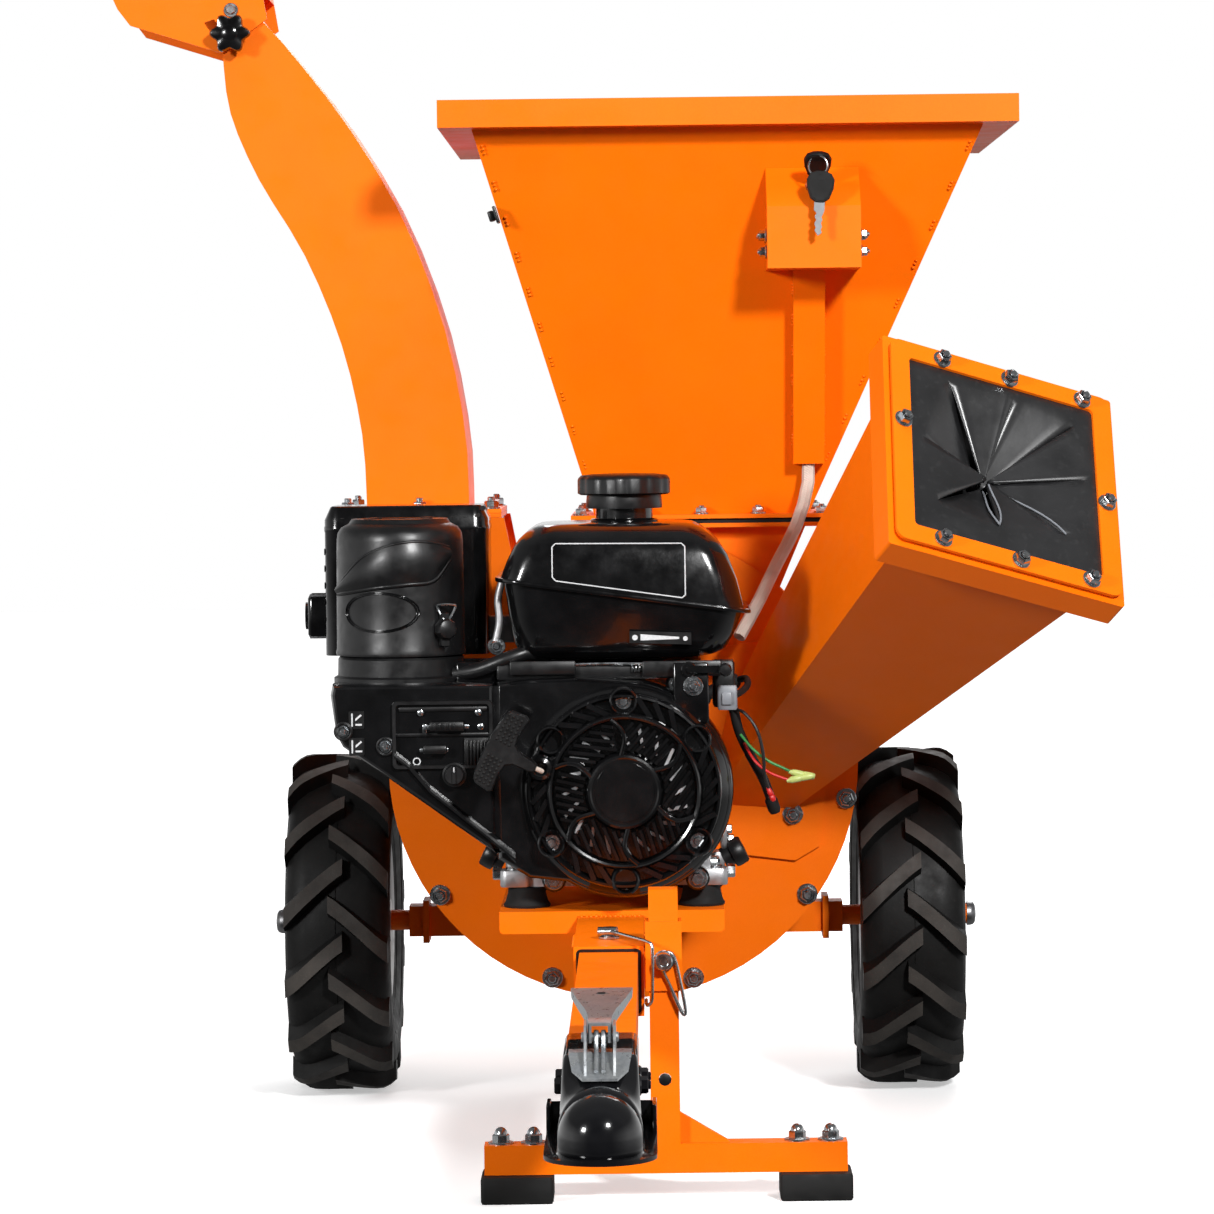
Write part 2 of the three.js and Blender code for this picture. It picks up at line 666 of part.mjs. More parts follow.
// ---- parking stand -------------------------------------------------------------------------
const standBox = (half, z0, z1) =>
  box(STAND_X - half, STAND_X + half, STAND_Y - half, STAND_Y + half, z0, z1);
const STAND_PIN_Z = 205;
const SPARE_HOLE_Z = 103;
const standHole = (z, r) => rod("y", r, -700, -600, [STAND_X, z], 12);
add(
  "stand_sleeve",
  cut(
    join(
      standBox(SLEEVE_TUBE / 2, 179, 238),
      box(TOW_X + RECEIVER / 2 + GAP, STAND_X, STAND_Y - 12, STAND_Y + 12, 181, 212),
    ),
    standBox(STAND_TUBE / 2 + 0.6, 100, 300),
    standHole(STAND_PIN_Z, 5.6),
  ),
  ORANGE,
);
const barY = [STAND_Y - 12.5, STAND_Y + 12.5];
const gusset = prism(
  "y",
  [[STAND_X + 12, 47], [STAND_X + 54, 47], [STAND_X + 54, 49], [STAND_X + 12, 74]],
  STAND_Y - 2.5,
  STAND_Y + 2.5,
);
add(
  "stand_leg",
  cut(
    join(
      standBox(STAND_TUBE / 2, FOOT_BAR.low, 265),
      box(FOOT_BAR.left, FOOT_BAR.right, ...barY, FOOT_BAR.low, FOOT_BAR.high),
      gusset,
    ),
    standBox(STAND_TUBE / 2 - 2, FOOT_BAR.high, 263),
    standHole(STAND_PIN_Z, 5.6),
    standHole(SPARE_HOLE_Z, 5.6),
  ),
  ORANGE,
);
for (const [name, x0] of [["foot_pad_left", FOOT_BAR.left - 3], ["foot_pad_right", FOOT_BAR.right - 58]]) {
  add(name, box(x0, x0 + 62, STAND_Y - 26, STAND_Y + 26, 0, FOOT_BAR.low - GAP), RUBBER);
}
add(
  "stand_pin",
  join(
    rod("y", 5, STAND_Y - 26, STAND_Y - STAND_TUBE / 2 - GAP, [STAND_X, STAND_PIN_Z], 12),
    rod("y", 8, STAND_Y - 29, STAND_Y - 21, [STAND_X, STAND_PIN_Z], 16),
  ),
  ZINC,
);

// ---- engine shelf and rubber mounts -----------------------------------------------------------
const shelfOutline = roundedRectangle(-112, 92, SHELF_TOP - 20, SHELF_TOP, 4);
const SHELF_FRONT = -424;
add(
  "engine_shelf",
  cut(
    join(
      box(-112, 92, SHELF_FRONT, DRUM_FRONT - GAP - 6, SHELF_TOP - 4.5, SHELF_TOP),
      prism("y", shelfOutline, SHELF_FRONT, SHELF_FRONT + 4, 3),
    ),
    box(TOW_X - RECEIVER / 2 - GAP, TOW_X + RECEIVER / 2 + GAP, -600, 0, 0, TOW_Z + RECEIVER / 2 + GAP),
  ),
  ORANGE,
);
const MOUNTS = { left: -88, right: 72, front: -378, back: -222 };
const mountHigh = ENGINE_BASE - SHELF_TOP - 2 * GAP;
const mountProfile = [[0, 0], [19, 0], [19, 6], [16, mountHigh], [0, mountHigh]];
for (const lr of ["left", "right"]) {
  for (const fb of ["front", "back"]) {
    add(
      "rubber_mount_" + fb + "_" + lr,
      turned("z", mountProfile, [MOUNTS[lr], MOUNTS[fb], SHELF_TOP + GAP], 20),
      RUBBER,
    );
  }
}

// ---- engine --------------------------------------------------------------------------------
const engineAxis = [0, SHAFT_Z];
const cylinderHead = box(-60, 60, -348, -232, 0, 78).rotate([0, -28, 0]).translate([-28, 0, 345]);
add(
  "engine_block",
  cut(
    join(
      box(-106, 90, -388, -206, ENGINE_BASE, ENGINE_BASE + 12),
      hull([
        ...level({ left: -80, right: 80, front: -386, back: -208 }, ENGINE_BASE + 6),
        ...level({ left: -88, right: 84, front: -386, back: -208 }, 330),
        ...level({ left: -60, right: 60, front: -376, back: -214 }, 412),
      ]),
      cylinderHead,
      rod("y", 44, -208, -198, engineAxis, 28),
    ),
    rod("y", 13, -500, 0, engineAxis, 20),
  ),
  CAST,
);
add(
  "flywheel",
  cut(
    join(
      rod("y", 76, -412, -396, engineAxis, 28),
      rod("y", 30, -428, -396, engineAxis, 20),
      ...Array.from({ length: 8 }, (_, i) =>
        box(40, 74, -422, -410, -2, 2).rotate([0, i * 45, 0]).translate([0, 0, SHAFT_Z]),
      ),
    ),
    rod("y", 12 + GAP, -500, 0, engineAxis, 20),
  ),
  CAST,
);

const arcPoints = (r, from, to, steps, cx = ENGINE_X, cz = SHAFT_Z) =>
  Array.from({ length: steps + 1 }, (_, i) => {
    const a = THREE.MathUtils.degToRad(from + ((to - from) * i) / steps);
    return [cx + r * Math.cos(a), cz + r * Math.sin(a)];
  });
// The blower housing: a round shroud that runs out to the upper left.
const shroudOutline = (inset) => [
  ...arcPoints(SHROUD_R - inset, -140, 78, 30),
  [-50, 436 - inset],
  [-113 + inset, 428 - inset],
  [-113 + inset, 290],
];
add(
  "blower_housing",
  cut(
    join(
      prism("y", shroudOutline(0), SHROUD_FRONT, -390),
      box(46, 82, SHROUD_FRONT, SHROUD_FRONT + 4, 384, 447),
    ),
    prism("y", shroudOutline(4), SHROUD_FRONT + 4, -380),
    rod("y", 82, -460, -400, [ENGINE_X, SHAFT_Z], 32),
  ),
  BLACK_GLOSS,
);
const coverFrom = SHROUD_FRONT - GAP;
const coverProfile = [
  [0, 0], [0, -28], [60, -28], [72, -25], [84, -14], [COVER_R, 0],
  [81, 0], [79, -12], [69, -22], [58, -24.5], [3, -24.5], [3, 0],
];
const ropeGuide = [-72, SHAFT_Z + 22];
add(
  "recoil_cover",
  cut(
    join(
      turned("y", coverProfile, [ENGINE_X, coverFrom, SHAFT_Z], 32),
      rod("y", 10, -480, -448, ropeGuide, 12),
    ),
    ...Array.from({ length: 6 }, (_, i) =>
      box(38, 58, -480, -455, -9, 9).rotate([0, i * 60 + 15, 0]).translate([ENGINE_X, 0, SHAFT_Z]),
    ),
  ),
  BLACK_GLOSS,
);

// Recoil handle: a T grip at the end of the starter rope, pulled up and to the left.
const HANDLE_Y = -492;
const gripTurn = THREE.MathUtils.radToDeg(Math.atan2(0.482, 0.876));
add(
  "recoil_handle",
  join(
    prism("x", roundedRectangle(-8, 8, -34, 34, 7), 26, 48, 4),
    rod("x", 7, 4, 30, [0, 0], 16),
  )
    .rotate([0, 180 + gripTurn, 0])
    .translate([ropeGuide[0], HANDLE_Y, ropeGuide[1]]),
  BLACK_SATIN,
);

// Control panel: the lower left shroud with the switch and the levers.
const panelOutline = (inset) => [
  [-262 + inset, 427 - inset],
  [-257 + inset, 362 + inset * 0.6],
  [-113.3 - inset, 264 + inset * 1.4],
  [-113.3 - inset, 427 - inset],
];
const leverSlot = (x0, x1, z0, z1) => box(x0, x1, -460, -420, z0, z1);
add(
  "control_panel",
  cut(
    prism("y", panelOutline(0), -444, -396),
    prism("y", panelOutline(4), -440, -380),
    leverSlot(-190, -134, 384, 398),
    leverSlot(-176, -140, 366, 376),
  ),
  BLACK_SATIN,
);
const chokeStem = box(-160, -152, -452, -424, 387, 395);
add("choke_lever", join(chokeStem, box(-172, -140, -456, -451, 385, 397)), BLACK_SATIN);
const fuelStem = box(-162, -156, -452, -424, 368, 374);
add("fuel_lever", join(fuelStem, box(-170, -148, -455, -451, 366.5, 375.5)), BLACK_SATIN);
add(
  "engine_switch",
  join(rod("y", 9, -456, -444 - GAP, [-150, 348], 20), box(-152, -148, -460, -455, 340, 356)),
  BLACK_SATIN,
);

// Air filter: a base on the panel, and a cover that lifts off it.
const filterAt = [-201, -372];
add(
  "air_filter_base",
  join(
    rod("z", 57, 427 + GAP, 446, filterAt, 36),
    rod("z", 50, 446, 452, filterAt, 36),
    rod("z", 20, 450, 470, filterAt, 20),
    box(-160, -84, -390, -350, 430, 442),
  ),
  BLACK_SATIN,
);
add(
  "air_filter_cover",
  turned(
    "z",
    [[0, 576], [38, 575], [54, 569], [58, 560], [59, 453], [55, 453], [54, 559], [36, 571], [0, 572]],
    [filterAt[0], filterAt[1], 0],
    36,
  ),
  BLACK_SATIN,
);

// Fuel tank, filler neck and cap.
const tankSection = (y, s) => [
  [-104 * s, y, 518], [-94 * s, y, 462], [-78 * s, y, 449], [84 * s, y, 449], [104 * s, y, 470],
  [114 * s, y, 496], [99 * s, y, 553], [72 * s, y, 571], [-70 * s, y, 571], [-92 * s, y, 556],
];
const CAP_AT = [5, -330];
add(
  "fuel_tank",
  join(
    hull([
      ...tankSection(-436, 0.97), ...tankSection(-424, 1),
      ...tankSection(-240, 1), ...tankSection(-228, 0.97),
    ]),
    hull([-442, -222].flatMap((y) => [[-112, y, 521], [120, y, 490], [-112, y, 524], [120, y, 493]])),
    rod("z", 26, 565, 594, CAP_AT, 28),
  ),
  BLACK_GLOSS,
);
add(
  "fuel_cap",
  turned(
    "z",
    [[0, 618], [38, 616], [43.5, 612], [43.5, 598], [34, 596], [34, 584], [27.5, 584], [27.5, 596], [0, 596]],
    [CAP_AT[0], CAP_AT[1], 0],
    32,
  ),
  BLACK_SATIN,
);

// Throttle lever, at the upper right of the shroud.
const THROTTLE_PIVOT = [62, -452, 440];
add(
  "throttle_lever",
  join(
    rod("y", 6, -449, SHROUD_FRONT - GAP, [THROTTLE_PIVOT[0], THROTTLE_PIVOT[2]], 16),
    prism("y", roundedRectangle(THROTTLE_PIVOT[0] - 2, THROTTLE_PIVOT[0] + 36, 437, 443, 2.5), -449, -446, 3),
    box(92, 99, -460, -446, 436, 444),
  ),
  ZINC,
);

// Muffler and its perforated guard.
add(
  "muffler",
  join(
    prism("z", roundedRectangle(-272, -132, -244, -156, 12), 450, 578, 3),
    box(-296, -270, -218, -182, 461, 503),
    box(-136, -96, -216, -184, 455, 480),
  ),
  STEEL,
);
add(
  "muffler_guard",
  cut(
    prism("z", roundedRectangle(-279, -125, -251, -152, 14), 446, 587, 3),
    prism("z", roundedRectangle(-276, -128, -248, -140, 13), 440, 584, 3),
    box(-310, -270, -222, -178, 400, 507),
    box(-140, -120, -222, -178, 400, 484),
  ),
  BLACK_SATIN,
);

// ---- key switch, cable channel and harness ---------------------------------------------------
// The hopper's front wall: Y at a height.
const wallSlope = (NECK.front - hopperTop.front) / (RIM_TOP - RIM_H + 3 - hopperLow);
const wallY = (z) => NECK.front - (z - hopperLow) * wallSlope - GAP - 0.2;
const keyBox = cut(
    prism("x", [[wallY(806), 806], [wallY(902), 902], [-285, 864], [-285, 806]], 142, 230),
    prism("x", [[wallY(809) + 5, 809], [wallY(899) + 5, 899], [-282, 862], [-282, 809]], 145, 227),
  );
const channelSection = (z, deep) => [wallY(z) - deep, z];
const channelPrism = (high, low, inner, outer, x0, x1) =>
  prism(
    "x",
    [
      channelSection(high, inner), channelSection(low, inner),
      channelSection(low, outer), channelSection(high, outer),
    ],
    x0,
    x1,
  );
const cableChannel = cut(
  channelPrism(807, 621, 0, 20, 168, 198),
  channelPrism(806, 600, -5, 17, 171, 195),
);
add("key_box", join(keyBox, cableChannel), ORANGE);
const sleeveY = (z) => wallY(z) - 8.5;
add(
  "cable_sleeve",
  bentRod(
    [
      [183, sleeveY(690), 690], [183, sleeveY(622), 622], [182, -143.5, 600], [172, -151, 566],
      [148, -184, 522], [130, -208, 488], [112, -228, 458],
    ],
    6.2,
    8,
    12,
  ),
  BRAID,
);
const keyFaceTop = [wallY(902), 902];
const keyFaceLow = [-285, 864];
const keyFaceRise = Math.atan2(keyFaceTop[1] - keyFaceLow[1], keyFaceTop[0] - keyFaceLow[0]);
const keyTilt = THREE.MathUtils.radToDeg(keyFaceRise);
const KEY_AT = [190, (keyFaceTop[0] + keyFaceLow[0]) / 2, (keyFaceTop[1] + keyFaceLow[1]) / 2];
add(
  "ignition_key",
  join(
    rod("z", 9, GAP, 5, [0, 0], 20),
    box(-5, 5, -1.5, 1.5, 4, 12),
    prism("y", roundedRectangle(-11, 11, 10, 34, 8), -2.5, 2.5, 4),
  )
    .rotate([keyTilt, 0, 0])
    .translate(KEY_AT),
  BLACK_SATIN,
);

// Loose ignition lead that hangs beside the engine from under the fuel tank.
const harnessRoute = [
  [94, -398, 441], [98, -401, 420], [103, -404, 400], [108, -402, 380],
  [118, -396, 358], [130, -388, 335], [138, -382, 312],
];
add(
  "harness_lead",
  bentRod(harnessRoute, 5, 8, 10),
  RUBBER,
);

export default chipper;
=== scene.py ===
"""Looks of the towable wood chipper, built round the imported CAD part.

Shapes are written in millimetres about the wheel axle, as the part is laid out: X to the right,
Y away from the tow coupler, Z up from the ground. at() turns such a point into the part's frame.
"""
import math
import random
from math import cos, pi, radians, sin

import bpy
from mathutils import Matrix, Vector


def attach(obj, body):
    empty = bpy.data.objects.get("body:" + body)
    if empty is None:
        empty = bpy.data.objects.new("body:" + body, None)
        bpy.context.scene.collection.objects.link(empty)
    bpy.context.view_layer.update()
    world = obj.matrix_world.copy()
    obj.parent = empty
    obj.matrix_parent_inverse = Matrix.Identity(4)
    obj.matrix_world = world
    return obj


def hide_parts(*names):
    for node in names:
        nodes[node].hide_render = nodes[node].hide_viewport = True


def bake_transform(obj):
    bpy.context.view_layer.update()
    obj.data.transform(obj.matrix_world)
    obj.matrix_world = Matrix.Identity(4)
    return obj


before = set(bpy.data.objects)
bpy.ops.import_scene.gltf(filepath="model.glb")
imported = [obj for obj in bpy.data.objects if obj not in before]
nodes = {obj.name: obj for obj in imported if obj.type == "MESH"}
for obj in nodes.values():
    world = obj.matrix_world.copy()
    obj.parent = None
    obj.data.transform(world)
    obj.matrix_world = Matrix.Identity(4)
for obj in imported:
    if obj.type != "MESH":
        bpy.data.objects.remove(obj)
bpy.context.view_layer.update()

AXLE_TO_CENTRE = Vector((24.8, 581.5, 0.0))
MM = 0.001
MACHINE = "machine"


def at(x, y, z):
    return (Vector((x, y, z)) + AXLE_TO_CENTRE) * MM


# ---- camera -------------------------------------------------------------------------------
CAMERA_BACK = -4500
CAMERA_SIDE = 30
CAMERA_HEIGHT = 668
CAMERA_ROLL = radians(0.7)
LENS_MM = 133.4
SENSOR_MM = 36
SHIFT_X = -0.0354
SHIFT_Y = -0.1565
CLIP_END = 50

camera = bpy.data.objects.new("camera", bpy.data.cameras.new("camera"))
bpy.context.scene.collection.objects.link(camera)
camera.location = at(CAMERA_SIDE, CAMERA_BACK, CAMERA_HEIGHT)
camera.rotation_euler = (radians(90), CAMERA_ROLL, 0)
camera.data.lens = LENS_MM
camera.data.sensor_width = SENSOR_MM
camera.data.shift_x = SHIFT_X
camera.data.shift_y = SHIFT_Y
camera.data.clip_end = CLIP_END
bpy.context.scene.camera = camera


# ---- node materials -------------------------------------------------------------------------
NOISE_ROUGHNESS = 0.55


class Paint:
    """A node material: a Principled shader with object coordinates and small helpers."""

    def __init__(self, name, color, roughness, metallic=0.0):
        self.material = bpy.data.materials.new(name)
        self.material.use_nodes = True
        self.tree = self.material.node_tree
        self.shader = self.tree.nodes["Principled BSDF"]
        self.shader.inputs["Metallic"].default_value = metallic
        self.place = self.tree.nodes.new("ShaderNodeTexCoord").outputs["Object"]
        self.base = color
        self.shader.inputs["Base Color"].default_value = (*color, 1)
        self.shader.inputs["Roughness"].default_value = roughness
        self.height = None

    def node(self, kind, **inputs):
        made = self.tree.nodes.new(kind)
        for key, value in inputs.items():
            socket = made.inputs[key]
            if isinstance(value, bpy.types.NodeSocket):
                self.tree.links.new(value, socket)
            else:
                socket.default_value = value
        return made

    def noise(self, scale, detail):
        made = self.node("ShaderNodeTexNoise", Vector=self.place, Scale=scale, Detail=detail)
        made.inputs["Roughness"].default_value = NOISE_ROUGHNESS
        return made.outputs["Fac"]

    def cells(self, scale):
        return self.node("ShaderNodeTexVoronoi", Vector=self.place, Scale=scale).outputs["Distance"]

    def weave(self, scale):
        made = self.node("ShaderNodeTexWave", Vector=self.place, Scale=scale, Distortion=1.5)
        made.wave_type = "BANDS"
        made.bands_direction = "DIAGONAL"
        return made.outputs["Fac"]

    def pattern(self, spec):
        if spec[0] == "cells":
            return self.cells(spec[1])
        if spec[0] == "weave":
            return self.weave(spec[1])
        return self.noise(*spec)

    def spread(self, fac, low, high, start=0.3, end=0.7):
        made = self.node("ShaderNodeMapRange", Value=fac)
        for key, value in (("From Min", start), ("From Max", end), ("To Min", low), ("To Max", high)):
            made.inputs[key].default_value = value
        return made.outputs["Result"]

    def tint(self, fac, other, amount=1.0, start=0.35, end=0.65):
        """Mixes the colour so far towards another where fac is high."""
        mix = self.tree.nodes.new("ShaderNodeMix")
        mix.data_type = "RGBA"
        self.tree.links.new(self.spread(fac, 0.0, amount, start, end), mix.inputs["Factor"])
        if self.shader.inputs["Base Color"].is_linked:
            self.tree.links.new(self.shader.inputs["Base Color"].links[0].from_socket, mix.inputs["A"])
        else:
            mix.inputs["A"].default_value = (*self.base, 1)
        mix.inputs["B"].default_value = (*other, 1)
        self.tree.links.new(mix.outputs["Result"], self.shader.inputs["Base Color"])
        return self

    def rough(self, fac, low, high, start=0.3, end=0.7):
        self.tree.links.new(self.spread(fac, low, high, start, end), self.shader.inputs["Roughness"])
        return self

    def bump(self, fac, depth_mm, strength=1.0):
        made = self.node("ShaderNodeBump", Height=fac)
        made.inputs["Strength"].default_value = strength
        made.inputs["Distance"].default_value = depth_mm * MM
        if self.height is not None:
            self.tree.links.new(self.height, made.inputs["Normal"])
        self.height = made.outputs["Normal"]
        self.tree.links.new(self.height, self.shader.inputs["Normal"])
        return self

    def gleam(self, level):
        """How strongly the bare surface mirrors what is round it."""
        self.shader.inputs["Specular IOR Level"].default_value = level
        return self

    def coat(self, weight, roughness):
        self.shader.inputs["Coat Weight"].default_value = weight
        self.shader.inputs["Coat Roughness"].default_value = roughness
        return self


def look(name, color, roughness, tints, rough, bumps, metallic=0.0, gleam=None, coat=None):
    """A finish: tints are (pattern, colour, amount, start, end), bumps are (pattern, mm, strength)."""
    p = Paint(name, color, roughness, metallic)
    for pattern, *how in tints:
        p.tint(p.pattern(pattern), *how)
    p.rough(p.pattern(rough[0]), rough[1], rough[2])
    for pattern, *how in bumps:
        p.bump(p.pattern(pattern), *how)
    if gleam is not None:
        p.gleam(gleam)
    if coat:
        p.coat(*coat)
    return p.material


def zinc_plate(name, metallic, smoothest, roughest):
    tints = [((60, 4), (0.56, 0.56, 0.52), 0.5), ((400, 4), (0.30, 0.32, 0.35), 0.45)]
    rough = ((180, 5), smoothest, roughest)
    return look(name, (0.50, 0.53, 0.56), 0.34, tints, rough, [((700, 3), 0.03, 0.25)], metallic)


def wire_coat(name, color):
    tints = [((120, 3), tuple(c * 0.7 for c in color), 0.6)]
    return look(name, color, 0.38, tints, ((300, 3), 0.3, 0.48), [((1200, 2), 0.03, 0.3)])


FLOOR_GLOW = (0.42, 1.0)
GLOW_FROM_TO = (0.7, 2.6)


def pale_floor():
    p = Paint("pale_floor", (0.86, 0.86, 0.86), 0.75)
    p.tint(p.noise(1.2, 3), (0.82, 0.82, 0.825), 0.6)
    p.rough(p.noise(3, 3), 0.7, 0.85)
    away = p.node("ShaderNodeVectorMath", Vector=p.place)
    away.operation = "LENGTH"
    glow = p.spread(away.outputs["Value"], *FLOOR_GLOW, *GLOW_FROM_TO)
    p.shader.inputs["Emission Color"].default_value = (1, 1, 1, 1)
    p.tree.links.new(glow, p.shader.inputs["Emission Strength"])
    return p.material


# A pattern is (scale, detail) of noise, or the scale of a cell or weave pattern by its name.
ORANGE = look(
    "orange_powder_coat", (0.94, 0.166, 0.001), 0.44,
    [((7, 4), (0.88, 0.142, 0.0008), 0.7), ((900, 2), (0.98, 0.2, 0.002), 0.25)],
    ((40, 4), 0.36, 0.5), [((420, 2), 0.10, 0.35), ((18, 2), 0.5, 0.18)], gleam=0.14, coat=(0.04, 0.14))
GLOSS = look(
    "engine_gloss_black", (0.0022, 0.0022, 0.0024), 0.2, [((30, 4), (0.005, 0.005, 0.0055), 0.8)],
    ((60, 5), 0.12, 0.24), [((380, 2), 0.10, 0.35)], gleam=0.4, coat=(0.35, 0.05))
SATIN = look(
    "moulded_black_plastic", (0.0035, 0.0035, 0.0037), 0.36, [((25, 4), (0.008, 0.008, 0.0085), 0.8)],
    ((90, 4), 0.28, 0.44), [(("cells", 1400), 0.08, 0.4)], gleam=0.42)
COUPLER = look(
    "coupler_black_paint", (0.0025, 0.0025, 0.003), 0.12, [((20, 3), (0.005, 0.005, 0.006), 0.8)],
    ((50, 5), 0.07, 0.18), [((160, 3), 0.25, 0.35)], gleam=0.35, coat=(0.45, 0.04))
RUBBER = look(
    "matt_rubber", (0.006, 0.006, 0.006), 0.7, [((35, 5), (0.014, 0.0135, 0.013), 0.8)],
    ((70, 4), 0.58, 0.82), [((900, 3), 0.12, 0.5)], gleam=0.25)
CURTAIN = look(
    "flap_curtain_rubber", (0.007, 0.007, 0.0075), 0.4,
    [((16, 5), (0.016, 0.016, 0.017), 0.8), ((160, 5), (0.035, 0.035, 0.036), 0.35, 0.56, 0.72)],
    ((30, 5), 0.3, 0.42), [((55, 3), 0.4, 0.3)], gleam=0.85)
TREAD = look(
    "tread_rubber", (0.003, 0.003, 0.003), 0.62,
    [((22, 6), (0.008, 0.0076, 0.0072), 0.8), ((260, 5), (0.018, 0.0165, 0.015), 0.3, 0.58, 0.75)],
    ((60, 4), 0.44, 0.66), [((500, 4), 0.2, 0.5)], gleam=0.22)
# The lug tops get a lighter, browner rubber than the tread: painted highlight on the tops.
LUG_TOP_HIGHLIGHT = look(
    "lug_top_painted_highlight", (0.042, 0.037, 0.033), 0.7,
    [((30, 6), (0.085, 0.074, 0.064), 0.8), (("cells", 350), (0.014, 0.0135, 0.013), 0.4, 0.0, 0.25)],
    ((80, 4), 0.56, 0.8), [((700, 4), 0.25, 0.6)], gleam=0.3)
ZINC = zinc_plate("bright_zinc_bolts", 1.0, 0.16, 0.32)
ZINC_SHEET = zinc_plate("bright_zinc_sheet", 0.86, 0.24, 0.42)
STEEL = look(
    "machined_steel", (0.27, 0.27, 0.28), 0.36, [((80, 5), (0.16, 0.155, 0.15), 0.6)],
    ((220, 5), 0.25, 0.5), [((900, 3), 0.06, 0.5)], 1.0)
ALLOY = look(
    "die_cast_alloy", (0.56, 0.56, 0.57), 0.42, [((45, 5), (0.42, 0.42, 0.43), 0.6)],
    ((150, 5), 0.34, 0.58), [(("cells", 900), 0.12, 0.5)], 0.9)
RIM = look(
    "wheel_silver_paint", (0.48, 0.49, 0.50), 0.35, [((40, 5), (0.34, 0.33, 0.31), 0.6)],
    ((90, 5), 0.28, 0.5), [((500, 2), 0.08, 0.4)], 0.55, coat=(0.2, 0.2))
SLEEVE = look(
    "woven_sleeve", (0.66, 0.56, 0.48), 0.8,
    [(("weave", 260), (0.34, 0.27, 0.22), 0.6, 0.2, 0.8), ((60, 4), (0.80, 0.72, 0.64), 0.5)],
    ((200, 3), 0.7, 0.9), [(("weave", 260), 0.4, 0.7)])
PRINT = look(
    "printed_grey_line", (0.62, 0.63, 0.64), 0.45, [((500, 3), (0.45, 0.46, 0.47), 0.6)],
    ((300, 3), 0.36, 0.55), [((1500, 2), 0.02, 0.4)])
WIRE_RED = wire_coat("red_wire", (0.55, 0.012, 0.012))
WIRE_BLACK = wire_coat("black_wire", (0.012, 0.012, 0.012))
WIRE_GREEN = wire_coat("green_wire", (0.03, 0.22, 0.05))
CONNECTOR = wire_coat("clear_green_connector", (0.45, 0.52, 0.16))
CONNECTOR_GREY = wire_coat("grey_module", (0.20, 0.21, 0.23))


# ---- shapes -------------------------------------------------------------------------------
def facing(point, normal, up=(0, 0, 1)):
    """A placement whose own +Z looks along normal, at a point, with +Y as near up as it can be."""
    z = Vector(normal).normalized()
    side = Vector(up).cross(z)
    if side.length < 1e-4:
        side = Vector((1, 0, 0))
    side.normalize()
    turn = Matrix((side, z.cross(side), z)).transposed().to_4x4()
    return Matrix.Translation(Vector(point)) @ turn


FRONT = (0, -1, 0)
BACK = (0, 1, 0)
UP = (0, 0, 1)
RIGHT = (1, 0, 0)
LEFT = (-1, 0, 0)
AXIS_R = 0.01


class Shape:
    """Vertices in millimetres, and faces with a material number."""

    def __init__(self):
        self.points = []
        self.faces = []
        self.marks = []

    def put(self, points, faces, place=None, mark=0):
        start = len(self.points)
        place = place or Matrix.Identity(4)
        self.points += [place @ Vector(p) for p in points]
        self.faces += [[start + i for i in f] for f in faces]
        self.marks += [mark] * len(faces)
        return self

    def loft(self, rings, place=None, mark=0, closed=False, caps=True):
        """Skins rings of equally many points. Closed joins the last ring to the first."""
        count = len(rings[0])
        points = [p for ring in rings for p in ring]
        faces = []
        last = len(rings) if closed else len(rings) - 1
        for a in range(last):
            b = (a + 1) % len(rings)
            for i in range(count):
                j = (i + 1) % count
                faces.append([a * count + i, a * count + j, b * count + j, b * count + i])
        if caps and not closed:
            faces.append(list(reversed(range(count))))
            faces.append([(len(rings) - 1) * count + i for i in range(count)])
        return self.put(points, faces, place, mark)

    def turned(self, profile, place, sides=48, mark=0, closed=False):
        """A profile of (radius, height) turned about the placement's own Z."""
        rings = []
        for r, h in profile:
            rings.append([(*polar(r, 2 * pi * i / sides), h) for i in range(sides)])
        return self.loft(rings, place, mark, closed)

    def plate(self, outline, low, high, place=None, bevel=1.0, mark=0):
        """An outline in the placement's own XY, from height low to high, with softened edges."""
        inset = offset(outline, -bevel)
        rings = [
            [(x, y, low) for x, y in inset],
            [(x, y, low + bevel) for x, y in outline],
            [(x, y, high - bevel) for x, y in outline],
            [(x, y, high) for x, y in inset],
        ]
        return self.loft(rings, place, mark)

    def box(self, low, high, bevel=1.0, place=None, mark=0, corner=None):
        corner = corner or bevel
        outline = rounded(low[0], high[0], low[1], high[1], corner)
        return self.plate(outline, low[2], high[2], place, bevel, mark)

    def tube(self, points, radius, sides=10, mark=0):
        """A round wire through points, with the ends closed."""
        points = [Vector(p) for p in points]
        rings = []
        normal = None
        for i, p in enumerate(points):
            along = (points[min(i + 1, len(points) - 1)] - points[max(i - 1, 0)]).normalized()
            if normal is None:
                normal = along.orthogonal().normalized()
            normal = (normal - along * normal.dot(along)).normalized()
            other = along.cross(normal)
            turns = (2 * pi * k / sides for k in range(sides))
            rings.append([p + (normal * cos(a) + other * sin(a)) * radius for a in turns])
        return self.loft(rings, None, mark)


def offset(outline, by):
    """The outline moved outwards, or inwards for a negative distance."""
    made = []
    count = len(outline)
    for i in range(count):
        a, p, b = Vector(outline[i - 1]), Vector(outline[i]), Vector(outline[(i + 1) % count])
        before = (p - a).normalized()
        after = (b - p).normalized()
        n1 = Vector((before.y, -before.x))
        n2 = Vector((after.y, -after.x))
        bisector = n1 + n2
        scale = by / max(0.35, bisector.length_squared / 2)
        made.append(tuple(p + bisector / 2 * scale))
    return made


def polar(r, angle):
    return r * cos(angle), r * sin(angle)


